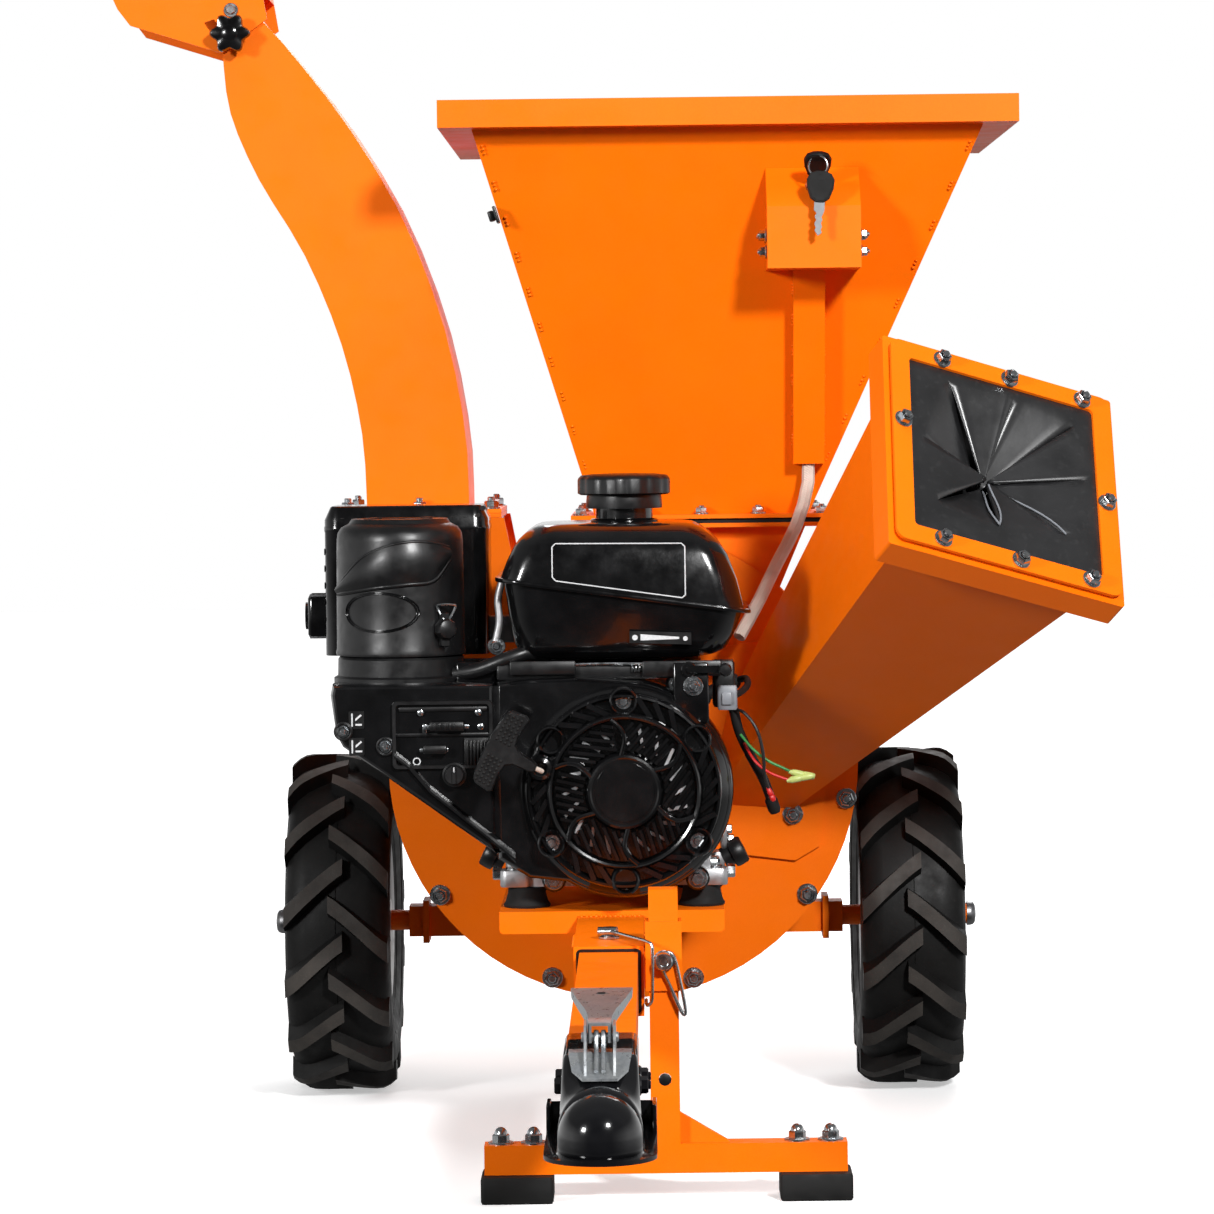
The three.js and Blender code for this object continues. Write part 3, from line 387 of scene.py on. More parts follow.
def solid(*profile, top=None):
    """A profile closed at both ends onto the axis, and drawn up to a point where a top is given."""
    last = profile[-1][1] if top is None else top
    return [(AXIS_R, profile[0][1]), *profile, (AXIS_R, last)]


def arc(cx, cy, r, start, end, steps):
    angles = (radians(start + (end - start) * i / steps) for i in range(steps + 1))
    return [(cx + r * cos(a), cy + r * sin(a)) for a in angles]


def rounded(x0, x1, y0, y1, r, steps=4):
    r = min(r, (x1 - x0) / 2 - 0.01, (y1 - y0) / 2 - 0.01)
    return (
        arc(x1 - r, y0 + r, r, -90, 0, steps)
        + arc(x1 - r, y1 - r, r, 0, 90, steps)
        + arc(x0 + r, y1 - r, r, 90, 180, steps)
        + arc(x0 + r, y0 + r, r, 180, 270, steps)
    )


def circle(r, steps=32, cx=0, cy=0):
    return arc(cx, cy, r, 0, 360 - 360 / steps, steps - 1)


def smooth_path(points, per_span=8):
    """A Catmull-Rom line through points."""
    pts = [Vector(p) for p in points]
    made = []
    for i in range(len(pts) - 1):
        p0, p1, p2, p3 = pts[max(i - 1, 0)], pts[i], pts[i + 1], pts[min(i + 2, len(pts) - 1)]
        for k in range(per_span):
            t = k / per_span
            made.append(
                0.5 * ((2 * p1) + (p2 - p0) * t + (2 * p0 - 5 * p1 + 4 * p2 - p3) * t * t
                       + (3 * p1 - p0 - 3 * p2 + p3) * t ** 3)
            )
    return made + [pts[-1]]


def make(name, shape, materials, body=MACHINE, sharp=38, replaces=()):
    """The shape as a piece that rides on a body."""
    materials = materials if isinstance(materials, (list, tuple)) else [materials]
    mesh = bpy.data.meshes.new(name)
    mesh.from_pydata([at(*p) for p in shape.points], [], shape.faces)
    for polygon, mark in zip(mesh.polygons, shape.marks):
        polygon.material_index = mark
    for material in materials:
        mesh.materials.append(material)
    mesh.update()
    mesh.shade_smooth()
    mesh.set_sharp_from_angle(angle=radians(sharp))
    piece = bpy.data.objects.new(name, mesh)
    bpy.context.scene.collection.objects.link(piece)
    if body:
        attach(piece, body)
    if replaces:
        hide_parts(*replaces)
    return piece


def soften(piece, width):
    modifier = piece.modifiers.new("edges", "BEVEL")
    modifier.width = width * MM
    modifier.segments = 2
    modifier.limit_method = "ANGLE"
    modifier.angle_limit = radians(40)
    modifier.use_clamp_overlap = True


def hexagon(r, turn=0):
    return [polar(r, radians(60 * i + turn)) for i in range(6)]


def add_bolt(shape, place, across=13, height=6, washer=11, stud=3.0, turn=10, mark=0):
    """A hex nut or head on a round washer, with the end of a stud standing out of it."""
    base = 0.0
    if washer:
        shape.turned(solid((washer, 0), (washer, 1.2), (washer - 0.5, 1.7)), place, 24, mark)
        base = 1.7
    r = across / math.sqrt(3)
    corner = hexagon(r, turn)
    inner = hexagon(r * 0.86, turn)
    rings = [
        [(x, y, base) for x, y in corner],
        [(x, y, base + height - 1.1) for x, y in corner],
        [(x, y, base + height) for x, y in inner],
    ]
    if stud:
        for shrink, sunk in ((0.78, 0), (0.72, 2.6)):
            rings.append([(x * shrink, y * shrink, base + height - sunk) for x, y in inner])
    shape.loft(rings, place, mark)
    if stud:
        s = across * 0.30
        top = base + height + stud
        shape.turned(solid((s, base + height - 1), (s, top - 0.8), (s - 0.8, top)), place, 16, mark)


def add_acorn(shape, place, across=13, mark=0):
    """A domed cap nut on a washer."""
    shape.turned(solid((11, 0), (11, 1.3), (10.4, 1.9)), place, 24, mark)
    corner = hexagon(across / math.sqrt(3), 12)
    rings = [[(x, y, 1.9) for x, y in corner], [(x, y, 7.5) for x, y in corner],
        [(x * 0.84, y * 0.84, 8.6) for x, y in corner]]
    shape.loft(rings, place, mark)
    dome = [(5.8 * cos(radians(a)), 8.2 + 6.2 * sin(radians(a))) for a in range(0, 90, 15)]
    shape.turned([(AXIS_R, 8.0)] + dome + [(AXIS_R, 14.4)], place, 24, mark)


# ---- the CAD nodes that keep their own shape -------------------------------------------------
KEPT = {
    ORANGE: [
        "drum_front_plate", "drum_rear_plate", "drum_band", "hopper_neck", "hopper", "chipper_chute",
        "flap_retainer", "discharge_collar", "discharge_chute", "deflector", "stub_axle_left",
        "stub_axle_right", "tow_receiver", "tow_tongue", "stand_sleeve", "stand_leg", "engine_shelf",
        "key_box",
    ],
    STEEL: ["crankshaft", "rotor_disc", "hammer_upper", "hammer_lower", "muffler"],
    ALLOY: ["bearing_housing", "engine_block", "flywheel"],
    ZINC: ["lever_bracket", "coupler_lever", "tow_pin", "stand_pin", "throttle_lever"],
    RIM: ["rim_left", "rim_right"],
    RUBBER: [
        "hopper_gasket", "foot_pad_left", "foot_pad_right", "rubber_mount_front_left",
        "rubber_mount_front_right", "rubber_mount_back_left", "rubber_mount_back_right",
        "harness_lead",
    ],
    CURTAIN: ["flap_curtain"],
    TREAD: ["tyre_left", "tyre_right"],
    COUPLER: ["coupler"],
    GLOSS: ["blower_housing", "recoil_cover", "muffler_guard", "fuel_tank"],
    SATIN: [
        "deflector_knob", "recoil_handle", "control_panel", "choke_lever", "fuel_lever", "engine_switch",
        "air_filter_base", "air_filter_cover", "fuel_cap", "ignition_key",
    ],
    SLEEVE: ["cable_sleeve"],
}
EDGE_MM = {"hopper": 2.2, "hopper_neck": 1.2, "chipper_chute": 1.6, "flap_retainer": 1.0,
    "discharge_chute": 1.2, "deflector": 1.0, "tow_receiver": 1.6, "tow_tongue": 2.4, "stand_leg": 1.8,
    "stand_sleeve": 1.6, "engine_shelf": 1.2, "key_box": 1.8, "foot_pad_left": 2.5,
    "foot_pad_right": 2.5, "drum_front_plate": 0.8, "drum_rear_plate": 0.8, "stub_axle_left": 1.4,
    "stub_axle_right": 1.4, "engine_block": 1.5, "bearing_housing": 1.2, "discharge_collar": 1.0,
    "lever_bracket": 0.5, "coupler_lever": 0.7}
for material, names in KEPT.items():
    for name in names:
        node = nodes[name]
        node.data.materials.clear()
        node.data.materials.append(material)
        node.data.shade_smooth()
        node.data.set_sharp_from_angle(angle=radians(32))
        if name in EDGE_MM:
            soften(node, EDGE_MM[name])

# ---- floor and light ------------------------------------------------------------------------
floor_mesh = bpy.data.meshes.new("floor")
REACH = 12.0
floor_corners = [(x * REACH, y * REACH, 0) for x, y in ((-1, -1), (1, -1), (1, 1), (-1, 1))]
floor_mesh.from_pydata(floor_corners, [], [(0, 1, 2, 3)])
floor_mesh.materials.append(pale_floor())
floor = bpy.data.objects.new("floor", floor_mesh)
bpy.context.scene.collection.objects.link(floor)
floor.visible_diffuse = False
floor.visible_glossy = False


def softbox(name, place, target, size, watts, mirrored=True):
    data = bpy.data.lights.new(name, "AREA")
    data.shape = "RECTANGLE"
    data.size, data.size_y = size
    data.energy = watts
    lamp = bpy.data.objects.new(name, data)
    lamp.location = place
    lamp.visible_glossy = mirrored
    lamp.rotation_euler = (Vector(target) - Vector(place)).to_track_quat("-Z", "Y").to_euler()
    bpy.context.scene.collection.objects.link(lamp)


softbox("key_light", (1.5, -3.6, 2.5), (0, 0, 0.55), (0.42, 0.42), 222)
softbox("fill_light", (-2.7, -3.2, 1.7), (0, 0, 0.5), (0.6, 0.6), 125)
softbox("top_light", (0, 0.2, 3.6), (0, 0, 0), (2.4, 2.4), 50, False)
softbox("back_light", (0.6, 3.4, 2.4), (0, 0, 0.6), (2.0, 1.6), 50)
world = bpy.data.worlds.new("studio")
bpy.context.scene.world = world
world.use_nodes = True
sky = world.node_tree
direction = sky.nodes.new("ShaderNodeTexCoord").outputs["Generated"]
height = sky.nodes.new("ShaderNodeSeparateXYZ")
sky.links.new(direction, height.inputs["Vector"])


def sky_fade(source, start, end, low, high):
    made = sky.nodes.new("ShaderNodeMapRange")
    sky.links.new(source, made.inputs["Value"])
    for key, value in (("From Min", start), ("From Max", end), ("To Min", low), ("To Max", high)):
        made.inputs[key].default_value = value
    return made.outputs["Result"]


def product(first, second):
    made = sky.nodes.new("ShaderNodeMath")
    made.operation = "MULTIPLY"
    sky.links.new(first, made.inputs[0])
    sky.links.new(second, made.inputs[1])
    return made.outputs["Value"]


# The sky is dimmer overhead, below the horizon, and behind the camera, as it is round a lit backdrop.
overhead = sky_fade(height.outputs["Z"], 0.12, 0.42, 1.0, 0.2)
below = sky_fade(height.outputs["Z"], -0.16, -0.05, 0.3, 1.0)
sky.nodes["Background"].inputs["Color"].default_value = (1, 1, 1, 1)
behind = sky_fade(height.outputs["Y"], -0.85, -0.15, 0.08, 1.0)
strength = product(product(overhead, below), behind)
sky.links.new(strength, sky.nodes["Background"].inputs["Strength"])
bpy.context.scene.view_settings.view_transform = "Standard"


# ---- the loose leads -------------------------------------------------------------------------
def add_cord(name, route, radius, material, with_pieces=(), replaces=()):
    """A free lead along a smooth route."""
    line = smooth_path(route, 5)
    piece = make(name, Shape().tube(line, radius, 12), material, sharp=50, replaces=replaces)
    return piece


def bullet(name, start, along, material, length=21, radius=3.1):
    """The clear sleeve of a bullet connector, with its crimped collar."""
    along = Vector(along).normalized()
    shape = Shape()
    shape.turned(solid((1.7, -3), (2.0, -1), (radius - 0.5, 0), (radius, 1.5), (radius, length * 0.45),
        (radius - 0.5, length * 0.5), (radius, length * 0.55), (radius, length - 2),
        (radius - 0.7, length)), facing(start, along), 20)
    return make(name, shape, material, sharp=50)


trunk_end = Shape()
trunk_end.turned(solid((5.4, -6), (5.9, -4), (5.7, 5), (4.6, 8), top=8.4),
    facing((138, -382, 312), (0.3, 0.2, -0.9)), 20)
trunk_plug = make("lead_trunk_boot", trunk_end, RUBBER)
add_cord("lead_trunk", [(94, -398, 441), (98, -401, 420), (103, -404, 400), (108, -402, 380),
    (118, -396, 358), (130, -388, 335), (138, -382, 312)], 4.6, RUBBER,
    [trunk_plug], ["harness_lead"])
add_cord("lead_green", [(109, -406, 378), (119, -414, 366), (133, -418, 355), (147, -418, 348),
    (155, -417, 344)], 1.3, WIRE_GREEN,
    [bullet("bullet_upper", (155, -417, 344), (0.97, 0, -0.2), CONNECTOR)])
add_cord("lead_red", [(112, -404, 370), (121, -414, 355), (133, -419, 345), (144, -420, 340),
    (153, -420, 337)], 1.3, WIRE_RED,
    [bullet("bullet_lower", (153, -420, 337), (0.95, 0, 0.18), CONNECTOR)])
add_cord("lead_black", [(102, -408, 402), (113, -418, 398), (124, -422, 382), (129, -421, 360),
    (130, -418, 342), (134, -414, 328)], 1.5, WIRE_BLACK,
    [bullet("bullet_end", (134, -414, 328), (0.4, 0, -0.9), WIRE_RED, 11, 2.6)])

# ---- wheels: tyres with chevron lugs, axle washers, pins and caps ------------------------------
WHEEL_Z = 168
WHEEL_X = 280
LUGS = 14
CARCASS_R = 155
LUG_R = 167.6
LUG_STEPS = 9
STUD_R = 44


def tyre_profile():
    half = 51
    side = [(78, 37), (84, 41.5), (92, 43.5), (104, 48), (120, half), (134, half - 0.5),
        (145, half - 4), (151, half - 11), (154, half - 22), (CARCASS_R, 0)]
    outside = [(r, -h) for r, h in side] + [(r, h) for r, h in reversed(side[:-1])]
    inside = [(80, 28), (120, 40), (145, 28), (145, -28), (120, -40), (80, -28)]
    return outside + inside


def add_lug(shape, place, index, side):
    """One bar lug: it starts just past the tread's middle and sweeps out to the shoulder."""
    start = 2 * pi * (index + (0.5 if side > 0 else 0)) / LUGS
    low, high = [], []
    for i in range(LUG_STEPS + 1):
        t = i / LUG_STEPS
        across = -7 + 57 * t
        sweep = 0.02 + 0.30 * t ** 1.12
        drop = 0.0 if across < 32 else (across - 32) / 18
        top = LUG_R - 1.0 - 9.0 * drop ** 2
        base = CARCASS_R - 4 - 12 * drop ** 2
        wide = 8.2 + 1.2 * t
        angle = start + sweep
        for ring, r, w in ((low, base, wide + 3.2), (high, top, wide)):
            ring.append((across, angle, r, w))

    def corner(across, angle, r, shift):
        a = angle + shift / r
        return (*polar(r, a), side * across)

    rings = []
    for (across, angle, base, foot), (*_, top, crown) in zip(low, high):
        shifts = ((base, -foot), (base, foot), (top, crown), (top, -crown))
        rings.append([corner(across, angle, r, shift) for r, shift in shifts])
    count = len(rings)
    points = [p for ring in rings for p in ring]
    sides_faces, top_faces = [], []
    for a in range(count - 1):
        for i in range(4):
            j = (i + 1) % 4
            face = [a * 4 + i, a * 4 + j, (a + 1) * 4 + j, (a + 1) * 4 + i]
            if side > 0:
                face.reverse()
            (top_faces if i == 2 else sides_faces).append(face)
    ends = [[3, 2, 1, 0], [(count - 1) * 4 + i for i in range(4)]]
    if side > 0:
        ends = [list(reversed(e)) for e in ends]
    shape.put(points, sides_faces + ends + top_faces, place)
    # The top faces take the lighter second material: painted highlight on the lug tops.
    for k in range(len(top_faces)):
        shape.marks[-1 - k] = 1


for side, word in ((-1, "left"), (1, "right")):
    place = facing((side * WHEEL_X, 0, WHEEL_Z), RIGHT)
    body = "wheel_" + word
    tyre = Shape().turned(tyre_profile(), place, 96, closed=True)
    for i in range(LUGS):
        add_lug(tyre, place, i, 1)
        add_lug(tyre, place, i, -1)
    for ring_r, ring_h in ((112, 50.2), (96, 45.4)):
        for face in (-1, 1):
            rib = [(ring_r - 2, face * (ring_h - 3)), (ring_r, face * ring_h),
                (ring_r + 2, face * (ring_h - 1.5))]
            tyre.turned(rib + [(ring_r, face * (ring_h - 5))], place, 72, closed=True)
    tyre.turned([(CARCASS_R - 1, -0.9), (CARCASS_R + 0.7, 0), (CARCASS_R - 1, 0.9)], place, 96,
        closed=True)
    make("lug_tyre_" + word, tyre, [TREAD, LUG_TOP_HIGHLIGHT], body, 32, ["tyre_" + word])
    rim = Shape()
    outer_half = [(11, -45.5), (21, -45), (22, -20), (24, -6), (60, -6), (66, -12), (67, -32),
        (70, -38), (74, -41), (84, -43.5), (86, -42), (86, -40), (77, -37), (71.5, -31), (71.5, 31),
        (77, 37), (86, 40), (86, 42), (84, 43.5), (74, 41), (70, 38), (67, 32), (66, 2), (60, -2),
        (24, -2), (22, 20), (21, 45), (11, 45.5)]
    rim.turned(outer_half, place, 64, closed=True)
    for degrees in (0, 90, 180, 270):
        z, y = polar(STUD_R, radians(degrees))
        add_bolt(rim, facing((side * (WHEEL_X + 1), y, WHEEL_Z + z), (side, 0, 0)), 12, 6, 0, 2, 0)
    make("wheel_rim_" + word, rim, RIM, body, 40, ["rim_" + word])
    hub = Shape()
    out = facing((side * 326, 0, WHEEL_Z), (side, 0, 0))
    hub.turned([(10.4, 0), (19, 0), (19, 2.4), (10.4, 2.4)], out, 32, closed=True)
    make("axle_washer_" + word, hub, ZINC, MACHINE)
    pin = Shape()
    x = side * 333
    pin.tube([(x, 0, WHEEL_Z + 15), (x, 0, WHEEL_Z - 14)], 1.6, 8)
    pin.tube([(x, 2, WHEEL_Z + 15), (x, 6, WHEEL_Z + 18), (x, 0, WHEEL_Z + 21), (x, -6, WHEEL_Z + 18),
        (x, -2, WHEEL_Z + 15)], 1.4, 8)
    pin.tube([(x, 0, WHEEL_Z - 13), (x - side * 1, -5, WHEEL_Z - 20),
        (x + side * 2, -10, WHEEL_Z - 24)], 1.3, 8)
    pin.tube([(x, 0, WHEEL_Z - 13), (x + side * 1, 4, WHEEL_Z - 20), (x + side * 3, 8, WHEEL_Z - 25)],
        1.3, 8)
    make("split_pin_" + word, pin, STEEL, MACHINE)
    valve = Shape()
    stem = facing((side * (WHEEL_X + 8), 0, WHEEL_Z + 56), (side, 0, 0.5))
    valve.turned(solid((4, 0), (3.4, 14), (3.0, 15), (3.0, 24), (2.4, 25)), stem, 16)
    make("valve_stem_" + word, valve, RUBBER, body)

# ---- drum: bolts round the plates, axle blocks --------------------------------------------------
SHAFT_Z = 332
RIM_BOLT_R = 219
DRUM_FRONT = -130
DRUM_REAR = 70
RIM_ANGLES = (-9.6, -36, -72.5, -109, -145, -172, 152, 20)
HIDDEN_IN_FRONT = -172


def on_drum_rim(degrees):
    x, z = polar(RIM_BOLT_R, radians(degrees))
    return x, SHAFT_Z + z


rim_bolts = Shape()
spacers = Shape()
for degrees in RIM_ANGLES:
    x, z = on_drum_rim(degrees)
    if degrees != HIDDEN_IN_FRONT:
        add_bolt(rim_bolts, facing((x, DRUM_FRONT - 0.2, z), FRONT), 13, 8, 10, 4, degrees)
    add_bolt(rim_bolts, facing((x, DRUM_REAR + 0.2, z), BACK), 13, 6, 10, 0, degrees)
    spacers.tube([(x, DRUM_FRONT + 6.4, z), (x, DRUM_REAR - 6.4, z)], 5.2, 16)
make("drum_rim_bolts", rim_bolts, ZINC)
make("drum_tie_rods", spacers, ZINC)
bearing_bolts = Shape()
for dx in (-40, 40):
    for dz in (-40, 40):
        add_bolt(bearing_bolts, facing((dx, DRUM_REAR + 10.2, SHAFT_Z + dz), BACK), 13, 8, 9, 3, dx + dz)
make("bearing_bolts", bearing_bolts, ZINC)
chute_bolts = Shape()
for x, z in ((164, 281), (52, 268), (60, 424)):
    add_bolt(chute_bolts, facing((x, DRUM_FRONT - 4.5, z), FRONT), 13, 8, 10, 4, 12)
make("chute_plate_bolts", chute_bolts, ZINC)

# ---- welds ------------------------------------------------------------------------------------
random.seed(11)


def add_weld(shape, start, end, size=3.2, pitch=4.2):
    """A run of overlapping weld ripples along a seam."""
    start, end = Vector(start), Vector(end)
    count = max(2, int((end - start).length / pitch))
    along = (end - start).normalized()
    for i in range(count + 1):
        p = start.lerp(end, i / count)
        r = size * random.uniform(0.85, 1.12)
        place = facing(p + along * random.uniform(-0.4, 0.4), along)
        shape.turned([(AXIS_R, -r * 0.8), (r * 0.75, -r * 0.5), (r, 0), (r * 0.75, r * 0.5),
            (AXIS_R, r * 0.8)], place, 8)


def add_weld_spots(shape, start, end, count, size=1.7):
    start, end = Vector(start), Vector(end)
    for i in range(count):
        p = start.lerp(end, (i + 0.5) / count)
        add_weld(shape, p - (end - start).normalized() * 4, p + (end - start).normalized() * 4, size, 4)


HOPPER_LOW = 568.9
HOPPER_TOP = 941


def front_wall_y(z):
    return -112 - (z - HOPPER_LOW) * 149 / 375.1


welds = Shape()
left_low, left_top = (-19, -112.6, HOPPER_LOW + 4), (-129, -261.6, HOPPER_TOP - 2)
right_low, right_top = (177, -112.6, HOPPER_LOW + 4), (342, -261.6, HOPPER_TOP - 2)
add_weld_spots(welds, left_low, left_top, 11)
add_weld_spots(welds, right_low, right_top, 10)
add_weld_spots(welds, (-19, 52.6, HOPPER_LOW + 4), (-129, 199.6, HOPPER_TOP - 2), 8)
add_weld_spots(welds, (177, 52.6, HOPPER_LOW + 4), (342, 199.6, HOPPER_TOP - 2), 8)
for x in (168, 198):
    for z in (640, 668, 697, 726, 755, 784):
        add_weld(welds, (x, front_wall_y(z) - 1, z), (x, front_wall_y(z + 9) - 1, z + 9), 1.8, 3)
add_weld_spots(welds, (-20, DRUM_FRONT - 2, 236), (-20, DRUM_FRONT - 1, 236), 1)
make("hopper_welds", welds, ORANGE, sharp=60)

# ---- chipper mouth: flaps and bolts ---------------------------------------------------------------
MOUTH = Vector((343, -497, 617))
BASE = Vector((133, DRUM_FRONT, 334))
along_chute = (MOUTH - BASE).normalized()
across_chute = Vector((0.915, 0.312, -0.264))
across_chute = (across_chute - along_chute * across_chute.dot(along_chute)).normalized()
up_chute = along_chute.cross(across_chute)
mouth_turn = Matrix((across_chute, up_chute, along_chute)).transposed().to_4x4()
mouth_place = Matrix.Translation(MOUTH) @ mouth_turn
SHEET_HALF = 104
SHEET_TOP = 3.2
SLITS = ((-43, 84), (9, 88), (44, 108), (80, 86), (122, 98), (172, 80), (220, 90), (265, 68))
TIP_DEPTHS = (32, 26, 46, 30, 44, 20, 38, 24)
CENTRE_SHIFT = (-6, -1)
BEND_ROWS = 12
EDGE_ROWS = 5
FLAP_COLUMNS = 8


def slit_end(index):
    turn, length = SLITS[index % len(SLITS)]
    return polar(length, radians(turn))


def flap_root(index, turn):
    """How far out the bend line between two slit ends lies, in one direction."""
    (x0, y0), (x1, y1) = slit_end(index), slit_end(index + 1)
    reach = abs(x0 * y1 - y0 * x1) / abs(cos(turn) * (y1 - y0) - sin(turn) * (x1 - x0))
    return reach * 1.06


flaps = Shape()
flap_points, flap_faces, seam_rows = [], [], {}
for index, (first, _) in enumerate(SLITS):
    last = SLITS[(index + 1) % len(SLITS)][0] + (360 if index + 1 == len(SLITS) else 0)
    columns = []
    for c in range(FLAP_COLUMNS + 1):
        u = c / FLAP_COLUMNS
        turn = radians(first + (last - first) * u)
        root = SLITS[(index + round(u)) % len(SLITS)][1] if u in (0, 1) else flap_root(index, turn)
        edge = SHEET_HALF / max(abs(cos(turn)), abs(sin(turn)))
        column = []
        for row in range(BEND_ROWS + EDGE_ROWS + 1):
            seam = (index + int(u)) % len(SLITS) if u in (0, 1) and row >= BEND_ROWS else None
            if seam is not None and (seam, row) in seam_rows:
                column.append(seam_rows[seam, row])
                continue
            if row <= BEND_ROWS:
                r = 2.5 + (root - 2.5) * row / BEND_ROWS
            else:
                r = root + (edge - root) * (row - BEND_ROWS) / EDGE_ROWS
            free = max(0.0, 1 - r / root)
            inward = radians(0.45) * (1 if u == 0 else -1) * min(1, free * 5) if u in (0, 1) else 0
            depth = SHEET_TOP - TIP_DEPTHS[index] * free * free / (free + 0.06)
            if seam is not None:
                seam_rows[seam, row] = len(flap_points)
            column.append(len(flap_points))
            drift = max(0.0, 1 - r / SHEET_HALF)
            flap_points.append((r * cos(turn + inward) + CENTRE_SHIFT[0] * drift,
                r * sin(turn + inward) + CENTRE_SHIFT[1] * drift, depth))
        columns.append(column)
    for left, right in zip(columns, columns[1:]):
        for row in range(BEND_ROWS + EDGE_ROWS):
            flap_faces.append([left[row], left[row + 1], right[row + 1], right[row]])
flaps.put(flap_points, flap_faces, mouth_place)
curtain = make("curled_flaps", flaps, CURTAIN, sharp=50, replaces=["flap_curtain"])
sheet = curtain.modifiers.new("sheet", "SOLIDIFY")
sheet.thickness = 2.6 * MM
sheet.offset = -1
# Thin grey lines along two slits stand for the lit cut edges of the rubber: painted highlight.
edge_highlight_lines = Shape()
for index, shift in ((0, 0), (7, 0), (7, -1)):
    turn, length = SLITS[index]
    line = []
    for k in range(9):
        r = 8 + (length - 10) * k / 8
        free = 1 - r / length
        high = SHEET_TOP + 1.4 - TIP_DEPTHS[(index + shift) % 8] * free * free / (free + 0.06)
        drift = 1 - r / SHEET_HALF
        bow = 0.10 * sin(pi * k / 8) * (1 if shift == 0 else -1)
        a = radians(turn) + bow
        line.append(mouth_place @ Vector((r * cos(a) + CENTRE_SHIFT[0] * drift, r * sin(a), high)))
    edge_highlight_lines.tube(line, 0.9, 8)
make("flap_cut_edge_highlights", edge_highlight_lines, CONNECTOR_GREY)
# A closed dark dish behind the flaps, with no slits, fills the view through the slits: painted shade
# inside the chute.
slit_shade_dish = Shape()
slit_shade_dish.turned([(AXIS_R, -66), (22, -57), (60, -30), (92, -8), (98, -6), (98, -8.5), (92, -10.5),
    (60, -33), (22, -60), (AXIS_R, -69)], mouth_place, 48)
make("curtain_painted_shade_dish", slit_shade_dish, CURTAIN, sharp=40)
MOUTH_BOLTS = ((-60, 101), (8, 101), (82, 101), (-101, 20), (101, -10), (-66, -101), (10, -101),
    (80, -101))
mouth_bolts = Shape()
mouth_nuts = Shape()
for x, y in MOUTH_BOLTS:
    add_bolt(mouth_bolts, mouth_place @ Matrix.Translation((x, y, 6.7)), 12, 6.5, 8.6, 2.5, x * 3)
    nut_place = mouth_place @ Matrix.Translation((x, y, -28.5)) @ Matrix.Rotation(pi, 4, "X")
    add_bolt(mouth_nuts, nut_place, 12, 6, 8.6, 3, y)
make("mouth_bolts", mouth_bolts, ZINC)
make("mouth_nuts", mouth_nuts, ZINC)

# ---- ignition key, its ring and the spare key -------------------------------------------------------
KEY_TOP = Vector((190, front_wall_y(902) - 0.5, 902))
KEY_LOW = Vector((190, -285, 864))
key_up = (KEY_TOP - KEY_LOW).normalized()
key_normal = Vector((1, 0, 0)).cross(key_up)
key_place = facing((KEY_TOP + KEY_LOW) / 2, key_normal, UP)
KEY_BOW = [(-3.5, 0), (3.5, 0), (9, 4), (12.5, 14), (13, 22), (10, 27.5), (4, 30), (-4, 30),
    (-10, 27.5), (-13, 22), (-12.5, 14), (-9, 4)]


def key_bow(shape, place):
    """A moulded key head: a flared outline, a raised panel on each side and an eyelet."""
    shape.plate(KEY_BOW, -2.6, 2.6, place, 1.2)
    for low, high in ((2.4, 3.3), (-3.3, -2.4)):
        shape.plate(offset(KEY_BOW, -3.2), low, high, place, 0.4)
    hole_rim = [(2.2, -3.6), (4.2, -3.6), (4.2, 3.6), (2.2, 3.6)]
    shape.turned(hole_rim, place @ Matrix.Translation((0, 24.5, 0)), 20, closed=True)


inserted = Shape()
inserted.turned(solid((11, 0.3), (11, 2.2), (9.5, 3.4)), key_place, 32, 1)
inserted.box((-3.4, -1.1, 3), (3.4, 1.1, 14), 0.4, key_place, 1)
upright = key_place @ Matrix.Rotation(radians(90), 4, "X")
key_bow(inserted, upright @ Matrix.Translation((0, 12, 0)))
make("ignition_key_head", inserted, [SATIN, ZINC], "key", replaces=["ignition_key"])
eyelet = key_place @ Vector((0, 0, 36.5))
RING_R = 9.5
ring = Shape()
loop = []
for k in range(29):
    a = 2 * pi * k / 28
    swing = Vector((RING_R * sin(a) * 0.92, -3.5 - 2.5 * sin(a), RING_R * (cos(a) - 0.9)))
    loop.append(eyelet + swing)
ring.tube(loop, 0.95, 8)
make("key_ring", ring, ZINC, "key")
spare = Shape()
spare_top = eyelet + Vector((2.5, -5.5, -19))
hang = facing(spare_top, (0, -1, 0.12)) @ Matrix.Rotation(radians(176), 4, "Z")
hang = hang @ Matrix.Translation((0, -24.5, 0))
key_bow(spare, hang @ Matrix.Translation((0, 49, 0)) @ Matrix.Rotation(pi, 4, "Z"))
blade = [(-5, 0), (5, 0), (5, 8), (3.6, 9), (2.4, 11), (3.6, 13), (3.6, 15), (2.2, 17), (3.6, 19.5),
    (3.6, 22), (2.4, 24), (3.4, 27), (0, 32), (-3.6, 29), (-2.6, 26), (-3.6, 23), (-2.4, 20),
    (-3.6, 17), (-2.6, 14), (-3.6, 12), (-5, 8)]
make("spare_key_head", spare, RUBBER, "key")
blade_shape = Shape()
blade_shape.plate(blade, -1.0, 1.0, hang @ Matrix.Translation((0, 48.5, 0)), 0.3)
make("spare_key_blade", blade_shape, CONNECTOR_GREY, "key")
box_bolts = Shape()
for side, x in ((-1, 142), (1, 230)):
    for y, z in ((-262, 822), (-262, 838), (-236, 838)):
        add_bolt(box_bolts, facing((x + side * 0.2, y, z), (side, 0, 0)), 8, 5, 6.5, 2, 20)
